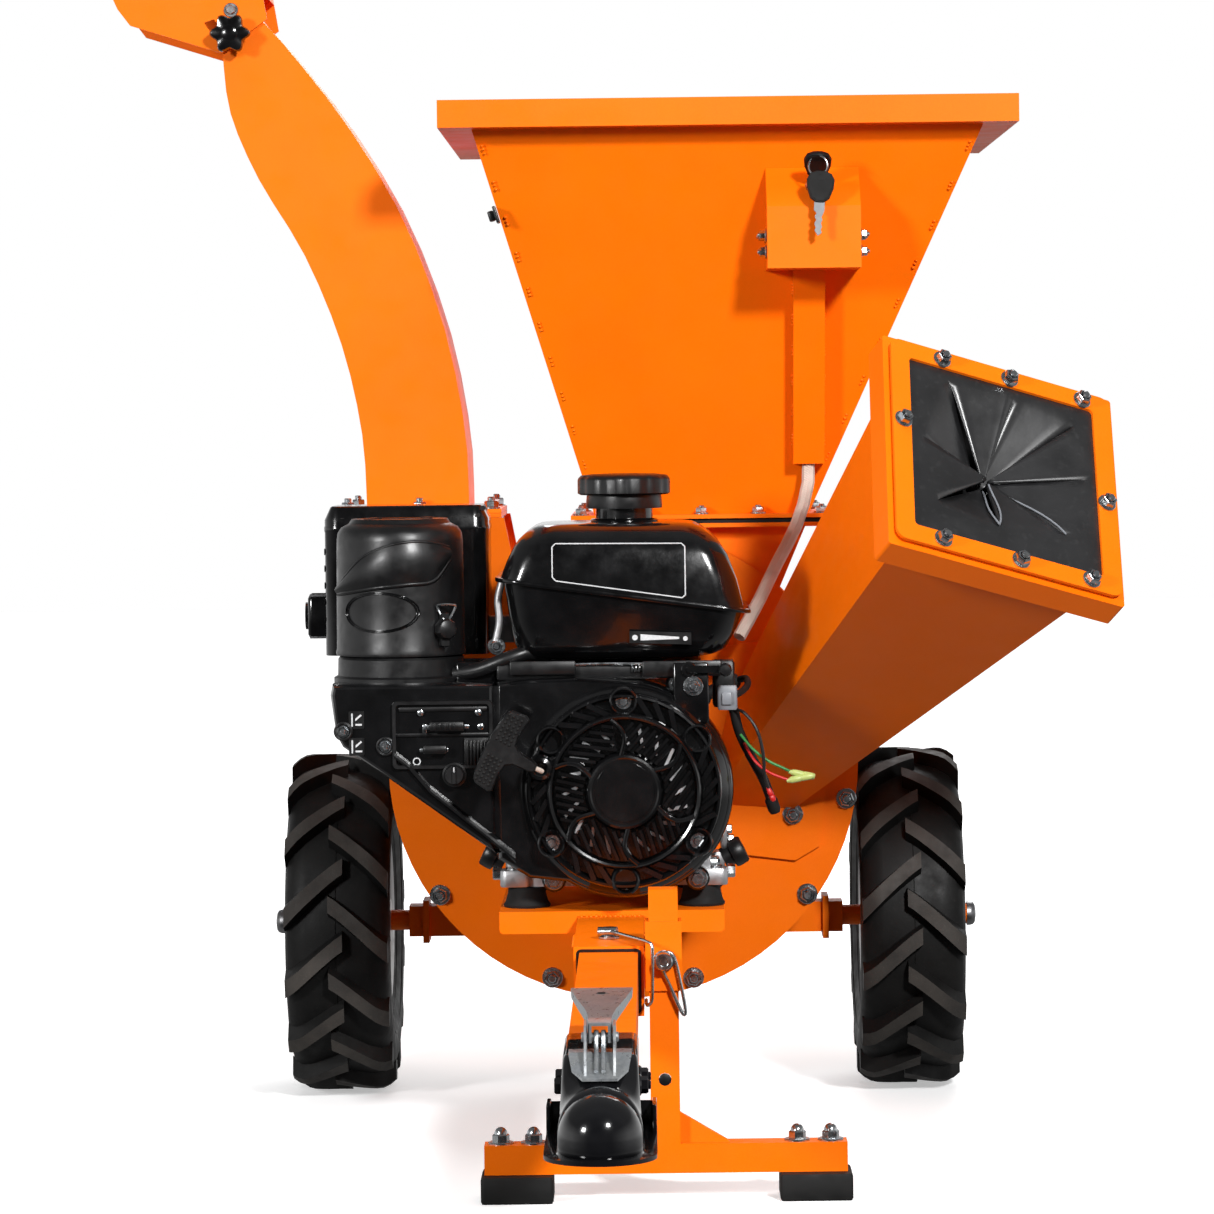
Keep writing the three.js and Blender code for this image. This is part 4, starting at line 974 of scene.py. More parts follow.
make("key_box_bolts", box_bolts, ZINC)
stop_button = Shape()
left_wall = Vector((-1, 0, -0.2986)).normalized()
button_at = Vector((-24 - (862 - HOPPER_LOW) * 0.2986, -236, 862)) + left_wall * 0.6
button_place = facing(button_at, left_wall)
stop_button.box((-14, -8, 0), (14, 8, 3), 0.8, button_place)
stop_button.box((-8, -5, 3), (6, 5, 9), 1.5, button_place)
make("hopper_side_button", stop_button, SATIN)

# ---- discharge: flange bolts, deflector pivot -------------------------------------------------------
duct_bolts = Shape()
for x in (-266, -196, -126):
    for y in (-108, 53):
        add_bolt(duct_bolts, facing((x, y, 580.5), UP), 12, 6, 9, 4, x)
        add_bolt(duct_bolts, facing((x, y, 571.8), (0, 0, -1)), 12, 6, 9, 0, x)
for x, z in ((-138, 546), (-140, 514)):
    add_bolt(duct_bolts, facing((x, DRUM_FRONT - 0.2, z), FRONT), 13, 6, 12, 3, 5)
make("duct_flange_bolts", duct_bolts, ZINC)
neck_bolts = Shape()
for x in (-38, 24, 79, 134, 196):
    for y in (-126, 66):
        add_bolt(neck_bolts, facing((x, y, 573.1), UP), 10, 5, 8, 2, x)
make("neck_flange_bolts", neck_bolts, ZINC)
pivot = Shape()
for y, n in ((-99.8, -1), (44.8, 1)):
    add_bolt(pivot, facing((-375, y, 1071), (0, n, 0)), 8, 4, 7, 0, 30)
make("deflector_pivot_bolt", pivot, STEEL, "deflector_hood")
knob_place = facing((-375, -100.5, 1047), FRONT)
STAR_POINTS = 6
star = [polar(17.4 + 2.6 * cos(STAR_POINTS * a), a) for a in (2 * pi * k / 72 for k in range(72))]
STAR_LAYERS = ((0.5, 0.5), (0.62, 7), (0.94, 9), (1, 11), (1, 17), (0.93, 19.5), (0.5, 21))
knob = Shape()
knob.loft([[(x * scale, y * scale, h) for x, y in star] for scale, h in STAR_LAYERS], knob_place)
knob.turned(solid((8, 20.5), (8, 21.2), (7.2, 21.8)), knob_place, 32)
make("star_knob", knob, GLOSS, "tilt_knob", replaces=["deflector_knob"])

axle_caps = Shape()
for side in (-1, 1):
    axle_caps.turned(solid((12, 0), (12, 3.5), (11, 6.5), (8.6, 8.2), (4, 9), top=9.2),
        facing((side * 340.5, 0, WHEEL_Z), (side, 0, 0)), 28)
make("axle_caps", axle_caps, STEEL)

# ---- engine: shroud and starter ---------------------------------------------------------------
ENGINE_X = 3
SHROUD_Y = -440
SHROUD_R = 99
EAR_R = 106
EARS = (62, -52, -128)
shroud_outline = (
    arc(ENGINE_X, SHAFT_Z, SHROUD_R, -122, 80, 44)
    + arc(-40, 400, 34, 86, 100, 3)
    + [(-80, 433), (-112.8, 430), (-112.8, 270), (-84, 252)]
)


def front_plate(shape, outline, layers):
    """An outline in XZ, lofted through (inset, Y) layers from the back to the front."""
    rings = []
    for inset, y in layers:
        ring = offset(outline, -inset) if inset else outline
        rings.append([(x, y, z) for x, z in ring])
    return shape.loft(rings)


shroud = Shape()
front_plate(shroud, shroud_outline, [(0.5, -391), (0, -392), (0, -424), (1.5, -432), (5, -438),
    (9, SHROUD_Y), (14, SHROUD_Y)])
ear_bolts = Shape()
for degrees in EARS:
    x, z = polar(EAR_R, radians(degrees))
    ear = facing((ENGINE_X + x, -398, SHAFT_Z + z), FRONT)
    add_bolt(ear_bolts, ear @ Matrix.Translation((0, 0, 15.6)), 11, 6, 9, 0, degrees)
    shroud.turned(solid((11, 0), (11, 14), (9.5, 15.5)), ear, 24)
shroud.box((48, -444, 392), (80, -437, 446), 2)
make("blower_shroud", shroud, GLOSS, sharp=30, replaces=["blower_housing"])
make("shroud_bolts", ear_bolts, ZINC)

cover_at = facing((ENGINE_X, SHROUD_Y - 0.3, SHAFT_Z), FRONT)
HUB_R = 32.5
INNER_R = 66
SECTORS = 6
FIRST_SPOKE = 35
cover = Shape()
cover_section = [(93, -2), (94, 0), (92, 3), (88.5, 6), (88, 15), (86.5, 18), (84.5, 18.4), (83, 16),
    (82, 8), (71, 8), (70.5, 20), (69, 25), (67.2, 26.8), (65.4, 26), (64.2, 22), (63.6, 14), (36, 14),
    (34.5, 25), (33, 27.5), (31, 28), (29.5, 27), (AXIS_R, 27), (AXIS_R, 10), (60, 8), (72, 2), (80, -2)]
cover.turned(cover_section, cover_at, 96)


def slat_runs(low, high, first, last, direction, pitch):
    """Straight runs that cross a ring sector in one direction: pairs of end points."""
    runs = []
    along = Vector((cos(direction), sin(direction)))
    side = Vector((-along.y, along.x))
    reach = high
    lines = int(2 * reach / pitch)
    for k in range(lines + 1):
        base = side * (-reach + k * pitch)
        inside = []
        for s in range(-60, 61):
            p = base + along * (reach * s / 60)
            angle = math.degrees(math.atan2(p.y, p.x))
            while angle < first:
                angle += 360
            if low <= p.length <= high and first <= angle <= last:
                inside.append(p)
        if len(inside) > 4:
            runs.append((inside[0], inside[-1]))
    return runs


def add_slat(shape, p, q, width, low, high, place):
    along = (q - p).normalized()
    side = Vector((-along.y, along.x)) * width / 2
    ends = [p - side, q - side, q + side, p + side]
    shape.plate([tuple(e) for e in ends], low, high, place, 0.6)


for k in range(SECTORS):
    start = FIRST_SPOKE + 60 * k
    direction = radians(start + (78 if k % 2 else 12))
    for p, q in slat_runs(36.5, 63, start + 4, start + 56, direction, 6.6):
        add_slat(cover, p, q, 3.4, 15.0, 24.6, cover_at)
    bow = []
    for s in range(9):
        t = s / 8
        a = radians(start - 8 * sin(pi * t) + 5 * t)
        r = HUB_R + (INNER_R - HUB_R) * t
        bow.append(cover_at @ Vector((r * cos(a), r * sin(a), 25.2 + 0.8 * sin(pi * t))))
    cover.tube(bow, 2.3, 10)
RIM_SLATS = 34
BOSS_R = 80.5
BOSSES = (90, 35, -35, -90, -145, 145)
for k in range(RIM_SLATS):
    degrees = 360 * k / RIM_SLATS
    if min(abs((degrees - b + 180) % 360 - 180) for b in BOSSES) < 13:
        continue
    inner_end = Vector(polar(69.5, radians(degrees - 5)))
    outer_end = Vector(polar(84.5, radians(degrees + 7)))
    add_slat(cover, inner_end, outer_end, 5.2, 10.0, 20.0, cover_at)
for degrees in BOSSES:
    seat = cover_at @ Matrix.Translation((*polar(BOSS_R, radians(degrees)), 0))
    cover.turned(solid((13.5, 0), (13.5, 15), (12.8, 19), (11.4, 20.4), (10, 19), (9.2, 9)), seat, 32)
guide = cover_at @ Matrix.Translation((-75, 22, 0))
cover.turned(solid((13, 0), (12, 26), (10, 30), (7, 31), (5, 29), (4.5, 24)), guide, 32)
make("starter_cover", cover, GLOSS, sharp=33, replaces=["recoil_cover"])
fins = Shape()
for k in range(20):
    a = 2 * pi * k / 20
    blade = facing((ENGINE_X + 50 * cos(a), -455.2, SHAFT_Z + 50 * sin(a)), FRONT)
    fins.box((-9, -1.6, 0), (9, 1.6, 3.4), 0.6, blade @ Matrix.Rotation(a + 0.5, 4, "Z"))
make("fan_glints", fins, ALLOY, "rotor")
screws = Shape()
for degrees in (90, -35, -145):
    seat = cover_at @ Matrix.Translation((*polar(BOSS_R, radians(degrees)), 9))
    add_bolt(screws, seat, 8, 4.5, 7.6, 0, degrees)
make("starter_screws", screws, ZINC)
badge = Shape()
badge.plate(circle(27, 48), 26.6, 27.8, cover_at, 0.5)
make("starter_centre_disc", badge, GLOSS)

PULL = Vector((-0.876, 0, 0.482)).normalized()
GUIDE = Vector((-72, -492, 354))
grip_place = Matrix.Translation(GUIDE) @ Matrix((
    (PULL.x, -PULL.z, 0), (0, 0, -1), (PULL.z, PULL.x, 0))).to_4x4()
grip = Shape()
grip_outline = [(29, -35), (33, -37.5), (46, -36), (49.5, -33)]
grip_outline += [(53.5 - 0.0032 * t * t, t) for t in range(-26, 27, 4)]
grip_outline += [(49.5, 33), (46, 36), (33, 37.5), (29, 35), (31, 20), (29.5, 10), (24, 6.4), (8, 5),
    (4, 3.4), (4, -3.4), (8, -5), (24, -6.4), (29.5, -10), (31, -20)]
grip.plate(grip_outline, -7.6, 7.6, grip_place, 1.5)
grip.plate(offset(grip_outline, -2.2), 7.0, 8.6, grip_place, 0.5)
for side in (-1, 1):
    for row in range(4):
        for k in range(7):
            spot = grip_place @ Matrix.Translation((34.8 + row * 4.2, side * (8 + k * 4.0), 8.4))
            grip.turned([(1.5, 0), (1.3, 0.9), (0.6, 1.4), (AXIS_R, 1.4), (AXIS_R, 0)], spot, 8, 1)
make("starter_grip", grip, [SATIN, RUBBER], "starter_handle", sharp=42, replaces=["recoil_handle"])
rope = Shape()
ROPE_STEPS = 24
rope_line = []
for k in range(ROPE_STEPS + 1):
    t = k / ROPE_STEPS
    rope_line.append(GUIDE + PULL * (-2 + 9 * t) + Vector((0, 6 * (1 - t) ** 2, 0)))
rope.tube(rope_line, 2.3, 10)
rope_piece = make("starter_rope", rope, SLEEVE, None)
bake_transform(rope_piece)

# ---- engine: block details --------------------------------------------------------------------
MOUNT_SPOTS = [(x, y) for x in (-88, 72) for y in (-378, -222)]
for (x, y), word in zip(MOUNT_SPOTS, ("front_left", "back_left", "front_right", "back_right")):
    seat = facing((x, y, 221.3), UP)
    mount = Shape().turned(solid((21, 0), (21.6, 2), (19.5, 5), (17.5, 12), (17.2, 16.5), (16, 18.3)),
        seat, 40)
    make("mount_" + word, mount, RUBBER, replaces=["rubber_mount_" + word])
feet = Shape()
for x, s in ((-98, -1), (82, 1)):
    for y in (-378, -222):
        place = facing((x, y, 240.2), UP)
        feet.plate(rounded(-14, 14, -17, 12, 6), 0, 15, place, 1.5)
        feet.turned(solid((8, 0), (7.4, 22), top=23), facing((x - s * 8, y, 240), UP), 20)
make("engine_feet", feet, ALLOY)
foot_bolts = Shape()
for x, s in ((-112, -1), (96, 1)):
    add_bolt(foot_bolts, facing((x, -380, 252), (s, 0, 0)), 11, 7, 0, 0, 20)
for x in (-99, 83):
    add_bolt(foot_bolts, facing((x, -378, 255.4), UP), 11, 6, 8.5, 2, 8)
make("foot_bolts", foot_bolts, ZINC)
fins_block = Shape()
for k in range(7):
    z = 352 + k * 12
    fins_block.box((-92 - k * 3, -358, z), (36 - k * 2, -226, z + 3), 0.8)
make("cylinder_fins", fins_block, ALLOY)

# ---- engine: fuel tank and cap ------------------------------------------------------------------
SEAM_HIGH = 522.5
SEAM_SLOPE = 0.137
TANK_TOP = 571.5
TANK_LOW = 449


def seam_z(x):
    return SEAM_HIGH - (x + 112) * SEAM_SLOPE


def tank_ring(level, limit):
    """One ring of the tank: how far from the seam to the top or bottom, then left, right, front, back."""
    part, x0, x1, y0, y1, corner = level
    ring = []
    for x, y in rounded(x0, x1, y0, y1, corner, 6):
        z = seam_z(x) + (limit - seam_z(x)) * part
        ring.append((x, y, z))
    return ring


UPPER_LEVELS = [
    (0.0, -107.5, 113, -440, -224, 24), (0.06, -107, 112.5, -440, -224, 24),
    (0.35, -101.5, 107, -438.6, -226, 24), (0.62, -95, 99, -436.4, -228, 24),
    (0.75, -90.5, 92.5, -433.5, -231, 24), (0.86, -84.5, 84, -428, -236, 24),
    (0.945, -78, 75, -420, -244, 22), (0.985, -72.5, 68, -411, -252, 20),
    (1.0, -64, 60, -400, -262, 18),
]
LOWER_LEVELS = [
    (1.0, -74, 64, -404, -258, 18), (0.985, -83, 75, -414, -248, 20),
    (0.93, -90, 86, -423, -239, 22), (0.8, -95.5, 96.5, -430, -232, 24),
    (0.5, -99.5, 104, -434.5, -228, 24), (0.1, -103.5, 110.5, -438, -225, 24),
    (0.0, -104, 111.5, -438.4, -224.5, 24),
]
tank = Shape()
tank.loft([tank_ring(level, TANK_LOW) for level in LOWER_LEVELS])
tank.loft([tank_ring(level, TANK_TOP) for level in UPPER_LEVELS])
make("fuel_tank_shell", tank, GLOSS, sharp=40, replaces=["fuel_tank"])
flange = rounded(-112.5, 119.5, -442.8, -221.5, 27, 6)
SEAM_LAYERS = ((5, -2.2), (0.8, -1.8), (0, -0.9), (0, 0.9), (0.8, 1.8), (5, 2.2))
seam = Shape()
seam.loft([
    [(x, y, seam_z(x) + lift) for x, y in offset(flange, -inset)]
    for inset, lift in SEAM_LAYERS])
make("tank_seam", seam, GLOSS, sharp=50)


def tank_front(x, z):
    """A point on the front of the tank's upper half, just proud of the paint."""
    part = (z - seam_z(x)) / (TANK_TOP - seam_z(x))
    for lower, upper in zip(UPPER_LEVELS, UPPER_LEVELS[1:]):
        if lower[0] <= part <= upper[0]:
            break
    step = (part - lower[0]) / (upper[0] - lower[0])
    return Vector((x, lower[3] + (upper[3] - lower[3]) * step - 0.25, z))


label = Shape()
LABEL = [(-57, 554.5), (57, 553.5), (60, 550.5), (60, 507), (57, 504.5), (-57, 521), (-60, 524.5),
    (-60, 551.5)]
outline = []
for (x0, z0), (x1, z1) in zip(LABEL, LABEL[1:] + LABEL[:1]):
    for k in range(6):
        outline.append(tank_front(x0 + (x1 - x0) * k / 6, z0 + (z1 - z0) * k / 6))
label.tube(outline + outline[:2], 0.62, 6)
make("tank_label_frame", label, PRINT)
flat = Matrix.Translation((0, -436.2, 0)) @ Matrix.Rotation(radians(90), 4, "X")
wedge = Shape()
wedge.plate([(9, 464), (65, 462), (65, 473), (9, 475)], 0, 1.0, flat, 0.3)
wedge.plate([(19, 466.2), (54, 467.2), (54, 469.2), (19, 472)], 0.9, 1.5, flat, 0.2, 1)
wedge.plate(circle(2.6, 12, 14, 469), 0.9, 1.5, flat, 0.2, 1)
wedge.plate(circle(2.2, 12, 59.5, 467.6), 0.9, 1.5, flat, 0.2, 1)
make("throttle_plate", wedge, [SATIN, PRINT])
CAP_AT = (5, -330)
cap = Shape()
cap_place = facing((CAP_AT[0], CAP_AT[1], 584), UP)
rings = []
for scale, z in ((0.93, 12.5), (1.0, 14), (1.0, 26), (0.985, 28), (0.93, 30.4), (0.7, 31.6), (0.4, 32)):
    ring = []
    for k in range(96):
        a = 2 * pi * k / 96
        flute = 1.3 * max(0.0, cos(12 * a)) ** 0.6 if z > 13 and scale > 0.9 else 0
        r = (43.2 - flute) * scale
        ring.append((r * cos(a), r * sin(a), z))
    rings.append(ring)
cap.loft(rings, cap_place)
cap.turned([(28, 0), (35, 0), (35.5, 3), (34.5, 12.8), (28, 12.8)], cap_place, 48, closed=True)
make("fuel_cap_moulding", cap, SATIN, "filler_cap", sharp=50, replaces=["fuel_cap"])
neck = Shape()
neck.turned([(26.5, -10), (26.5, 11), (24, 11), (24, -10)], cap_place, 48, closed=True)
neck.turned([(26.5, -13), (31, -13), (31.5, -11), (30, -9.5), (26.5, -9)], cap_place, 48, closed=True)
make("filler_neck", neck, GLOSS)

# ---- engine: air filter ----------------------------------------------------------------------------
FILTER = Vector((-201, -372, 0))
filter_place = facing(FILTER, UP)
filter_cover = Shape()
filter_section = [(55.5, 453.2), (59, 453.4), (59.6, 456), (58.6, 459), (58.4, 500), (57.8, 558),
    (56.8, 565), (53.5, 570), (47, 573.4), (30, 576), (AXIS_R, 577), (AXIS_R, 573), (30, 572),
    (50, 566), (54, 558), (55, 470)]
filter_cover.turned(filter_section, filter_place, 96)
make("filter_cover_shell", filter_cover, SATIN, "filter_cover", sharp=36, replaces=["air_filter_cover"])


def on_filter(degrees, z, lift=0.0):
    """A point on the cover's side: degrees round from straight ahead, and a height."""
    a = radians(degrees - 90)
    r = 58.4 + lift
    return FILTER + Vector((r * cos(a), r * sin(a), z))


crescent = Shape()
upper_edge = [(-70, 517), (-52, 528), (-30, 545), (0, 556), (28, 557), (52, 552)]
lower_edge = [(-70, 510), (-50, 512), (-20, 516), (8, 519), (34, 522), (52, 540)]
upper_line = smooth_path([on_filter(d, z, 0.5) for d, z in upper_edge])
lower_line = smooth_path([on_filter(d, z, 0.5) for d, z in lower_edge])
crescent.tube(upper_line, 1.5, 8)
crescent.tube(lower_line, 2.2, 8)
rows = 5
count = len(upper_line)
skin = []
for r in range(rows + 1):
    t = r / rows
    for u, w in zip(upper_line, lower_line):
        p = u.lerp(w, t)
        flat = Vector((p.x, p.y, 0)) - FILTER
        p = FILTER + flat.normalized() * (59.4 + 3.4 * sin(pi * t) ** 0.7) + Vector((0, 0, p.z))
        skin.append(p)
faces = []
for r in range(rows):
    for i in range(count - 1):
        low, high = r * count + i, (r + 1) * count + i
        faces.append([high, high + 1, low + 1, low])
crescent.put(skin, faces)
make("filter_crescent", crescent, SATIN, "filter_cover", sharp=60)
oval = Shape()
for scale, z_lift in ((1.0, 0.5), (0.93, 0.8)):
    loop = []
    for k in range(49):
        a = 2 * pi * k / 48
        loop.append(on_filter(-17 + 37 * scale * cos(a), 494 + 18 * scale * sin(a), z_lift))
    oval.tube(loop, 0.7, 6)
make("filter_oval", oval, GLOSS, "filter_cover", sharp=60)
latch = Shape()
latch_knob = on_filter(43, 478, 1)
away = (latch_knob - FILTER - Vector((0, 0, 478))).normalized()
away = (away + Vector((0, -0.6, 0))).normalized()
latch_place = facing(latch_knob, away)
latch.turned(solid((7.5, 0), (9.8, 3), (10, 9), (8.4, 12), (6, 13), top=13.3), latch_place, 9)
latch.box((-4.5, -16, 0), (4.5, 15, 6), 1.5, latch_place)
make("filter_latch_knob", latch, SATIN, "filter_cover", sharp=30)
bail = Shape()
p = latch_knob + away * 6
bail.tube(smooth_path([p + Vector((0, 0, 6)), p + Vector((-7, 0, 19)), p + Vector((-5, -1, 22)),
    p + Vector((7, 0, 22)), p + Vector((9, 1, 19)), p + Vector((2, 0, 6)), p + Vector((0, 0, 0))], 5),
    1.2, 8)
make("filter_bail", bail, ZINC, "filter_cover")
top_rim = Shape()
top_rim.turned([(34, 574.4), (44, 574.2), (47, 573), (44, 577.6), (36, 577.9), (34, 577)], filter_place,
    64, closed=True)
for k in range(4):
    quarter = Matrix.Rotation(radians(45 + 90 * k), 4, "Z")
    top_rim.box((-6, 30, 575), (6, 40, 578.4), 1.2, filter_place @ quarter)
make("filter_top_rim", top_rim, SATIN, "filter_cover")
base = Shape()
base.turned(solid((60, 427.4), (61.5, 429), (61.5, 433), (58, 435), (57.6, 450), (56, 452.4),
    top=452.6), filter_place, 96)
make("filter_base_shell", base, SATIN, sharp=30, replaces=["air_filter_base"])

# ---- engine: control panel --------------------------------------------------------------------------
panel = Shape()
panel_outline = [(-260, 430), (-262, 420), (-257, 384), (-251, 373), (-214, 347), (-150, 301),
    (-113.4, 275), (-113.4, 430)]
front_plate(panel, panel_outline, [(0.4, -394), (0, -396), (0, -432), (1.5, -438), (5, -442.5),
    (9, -444)])
make("control_shroud", panel, GLOSS, sharp=30, replaces=["control_panel"])
window = Shape()
bezel_outer, bezel_inner = rounded(-206, -114.5, 353, 415, 5), rounded(-202, -118.5, 357, 411, 3)
bezel_layers = (
    (bezel_outer, -443), (bezel_outer, -447.6), (offset(bezel_outer, -1.4), -448.8),
    (offset(bezel_inner, 0.8), -448.8), (bezel_inner, -447.8), (bezel_inner, -443))
window.loft([[(x, y, z) for x, z in line] for line, y in bezel_layers], closed=True)
window.box((-203, -446.6, 382.5), (-117, -443, 385.5), 0.8)
make("control_bezel", window, SATIN)
inner = Shape()
for k in range(7):
    inner.box((-139 + k * 3.2, -451.5, 357), (-137.2 + k * 3.2, -444, 379), 0.5)
inner.box((-141, -448.6, 355), (-116, -444, 381), 1)
inner.box((-200, -446, 405), (-120, -444, 409), 0.8)
make("control_slots", inner, SATIN)
detents = Shape()
for x, z in ((-128, 404), (-180, 404), (-126, 391)):
    detents.turned(solid((3, 0), (3, 1.4), (2.2, 2)), facing((x, -445.5, z), FRONT), 14)
make("control_rivets", detents, ZINC)
levers = Shape()
levers.box((-172, -457, 388), (-140, -452.4, 396), 2)
for k in range(5):
    levers.box((-168 + k * 4.6, -458.4, 389), (-166 + k * 4.6, -456, 395), 0.6)
levers.box((-176, -452.6, 389.6), (-136, -450.6, 393.4), 0.6, None, 1)
levers.box((-160, -452, 388.6), (-152, -430, 393.4), 0.8, None, 1)
levers.box((-178, -452.6, 386), (-174, -450.6, 394), 0.6, None, 1)
make("choke_tab", levers, [SATIN, ZINC], "choke", replaces=["choke_lever"])
fuel = Shape()
fuel.box((-178, -455.5, 367.4), (-156, -451.2, 374.6), 1.8)
fuel.box((-181, -451.6, 369), (-155, -449.6, 372.4), 0.6, None, 1)
fuel.box((-162, -452, 368.4), (-156, -430, 373.4), 0.6, None, 1)
make("fuel_tab", fuel, [SATIN, ZINC], "fuel_valve", replaces=["fuel_lever"])
switch = Shape()
switch_place = facing((-150, -447, 348), FRONT)
switch.turned(solid((11, 0), (11, 3), (9.4, 4), (9, 9), (7.9, 10.4), top=10.6), switch_place, 36)
switch.box((-2, -8, 9.5), (2, 8, 12.4), 1, switch_place)
switch.box((-0.5, 3, 12.2), (0.5, 7.4, 12.8), 0.2, switch_place, 1)
make("switch_knob", switch, [SATIN, PRINT], "stop_switch", replaces=["engine_switch"])
icons = Shape()
for x, z in ((-238, 398), (-238, 374)):
    spot = facing((x, -444.2, z), FRONT)
    icons.plate(rounded(-7, 7, -8, 8, 1.5), 0, 0.7, spot, 0.2, 0)
    icons.plate(rounded(-4.6, -3.2, -6, 6, 0.5), 0.6, 1.2, spot, 0.1, 1)
    icons.plate([(-1, -5), (5, -5), (5, -3.4), (-1, -3.4)], 0.6, 1.2, spot, 0.1, 1)
    icons.plate([(-1, -1), (5, 4), (3.8, 5.2), (-1, 1.2)], 0.6, 1.2, spot, 0.1, 1)
for x, z in ((-184, 360), (-124, 348)):
    icons.turned([(2.6, 0), (3.6, 0), (3.6, 0.9), (2.6, 0.9)], facing((x, -444.1, z), FRONT), 20, 1,
        closed=True)
make("control_icons", icons, [SATIN, PRINT])
panel_bolts = Shape()
for x, z in ((-250, 388), (-212, 374)):
    spot = facing((x, -444, z), FRONT)
    panel_bolts.turned([(6.4, 0), (8.5, 0), (8.5, 3), (7.4, 3.6), (6.4, 3)], spot, 24, 1, closed=True)
    add_bolt(panel_bolts, spot, 8, 3.5, 6, 1.5, 15)
make("panel_bolts", panel_bolts, [ZINC, SATIN])
rib = Shape()
rib_line = [(-204, 366), (-190, 355), (-172, 334), (-120, 292), (-96, 272)]
for ends in zip(rib_line, rib_line[1:]):
    rib.loft([
        [(x, -443, z - 5), (x, -449, z - 2.5), (x, -450, z), (x, -449, z + 2.5), (x, -443, z + 5)]
        for x, z in ends])
rib.box((-118, -440, 280), (-108, -400, 427), 1)
make("panel_rib", rib, GLOSS)

# ---- engine: muffler, bracket, linkage ----------------------------------------------------------------
guard = Shape()
outline = rounded(-279.5, -124.5, -251.5, -151.5, 14, 5)
GUARD_LAYERS = ((-2.4, 446), (0, 446), (0, 562), (1.2, 564), (1.2, 567), (0, 568.5), (0, 574),
    (-11, 586), (-14, 587))
guard.loft([
    [(x, y, z) for x, y in (offset(outline, grow) if grow else outline)]
    for grow, z in GUARD_LAYERS])
make("muffler_guard_shell", guard, GLOSS, sharp=28, replaces=["muffler_guard"])
holes = Shape()
for row in range(2):
    for k in range(12):
        place = facing((-262 + k * 11.6 + row * 5, -248.6 + row * 5.4 - 0.4, 577.2 + row * 6.4),
            (0, -0.78, 0.62))
        holes.turned(solid((2.9, 0), (2.9, 0.5)), place, 14)
for row in range(5):
    for k in range(7):
        place = facing((-279.6, -238 + k * 12.5, 480 + row * 16), LEFT)
        holes.turned(solid((3.2, 0), (3.2, 0.5)), place, 14)
make("guard_holes", holes, RUBBER)
outlet = Shape()
outlet.box((-298, -219, 461), (-274, -181, 503), 4)
outlet.turned(solid((13, 0), (13, 3), (10, 3), (10, 0.5)), facing((-298, -200, 482), LEFT), 32)
make("exhaust_outlet", outlet, GLOSS)
bracket = Shape()
bracket.tube(smooth_path([(-107, -404, 519), (-110.5, -404, 503), (-109.5, -404, 484),
    (-113, -404, 466)], 6), 3.4, 10)
bracket_foot = Matrix.Translation((0, -401, 0)) @ Matrix.Rotation(radians(90), 4, "X")
bracket.plate(circle(7.5, 20, -113, 461), 0, 3, bracket_foot, 0.8)
make("tank_bracket", bracket, ALLOY)
bracket_bolt = Shape()
add_bolt(bracket_bolt, facing((-112, -404.2, 461), FRONT), 10, 6, 8, 2, 14)
add_bolt(bracket_bolt, facing((88, -404.2, 462), FRONT), 9, 6, 8, 2, 24)
add_bolt(bracket_bolt, facing((66, -444.4, 425), FRONT), 11, 6, 9, 2, 4)
make("bracket_bolts", bracket_bolt, ZINC)
linkage = Shape()
linkage.tube(smooth_path([(-118, -420, 441), (-60, -424, 444), (0, -426, 445), (52, -428, 443),
    (70, -430, 438)], 6), 1.6, 8)
linkage.tube(smooth_path([(-110, -412, 437), (-40, -414, 438), (20, -416, 440), (60, -418, 436)], 6),
    1.2, 8)
coil = []
for k in range(140):
    a = 2 * pi * k / 10
    coil.append((10 + k * 0.32, -426 + 3.4 * cos(a), 441 + 3.4 * sin(a)))
linkage.tube(coil, 0.6, 5)
make("governor_linkage", linkage, ZINC)
carb = Shape()
carb.box((-150, -410, 428), (-112, -340, 447), 3)
carb.turned(solid((13, 0), (13, 34), (11, 36)), facing((-128, -372, 433), RIGHT), 32)
make("carburettor", carb, GLOSS)
works = Shape()
works.box((-112, -424, 431), (74, -262, 445), 2)
works.box((-100, -430, 436), (-40, -424, 448), 1.5)
works.box((20, -430, 433), (92, -424, 447), 1.5)
works.tube(smooth_path([(-150, -402, 436), (-128, -412, 440), (-104, -418, 449), (-84, -414, 455),
    (-66, -400, 452)], 6), 7, 14)
works.box((84, -418, 404), (104, -388, 446), 2.5)
make("engine_works", works, SATIN)
coil_box = Shape()
coil_box.box((88, -428, 402), (106, -420, 424), 2)
coil_box.box((92, -431, 407), (101, -427, 418), 1)
make("ignition_module", coil_box, CONNECTOR_GREY)
throttle = Shape()
throttle.turned(solid((7, 0), (7, 5), (6, 6)), facing((62, -440.6, 440), FRONT), 24)
arm_place = Matrix.Translation((0, -446.8, 0)) @ Matrix.Rotation(radians(90), 4, "X")
throttle.plate(rounded(60, 98, 436.6, 443.4, 3), 0, 2.4, arm_place, 0.6)
throttle.turned(solid((5, 0), (6, 3), (6, 9), (4.5, 11), top=11.4), facing((95, -449, 440), FRONT), 20, 1)
make("throttle_arm", throttle, [GLOSS, SATIN], "throttle", replaces=["throttle_lever"])

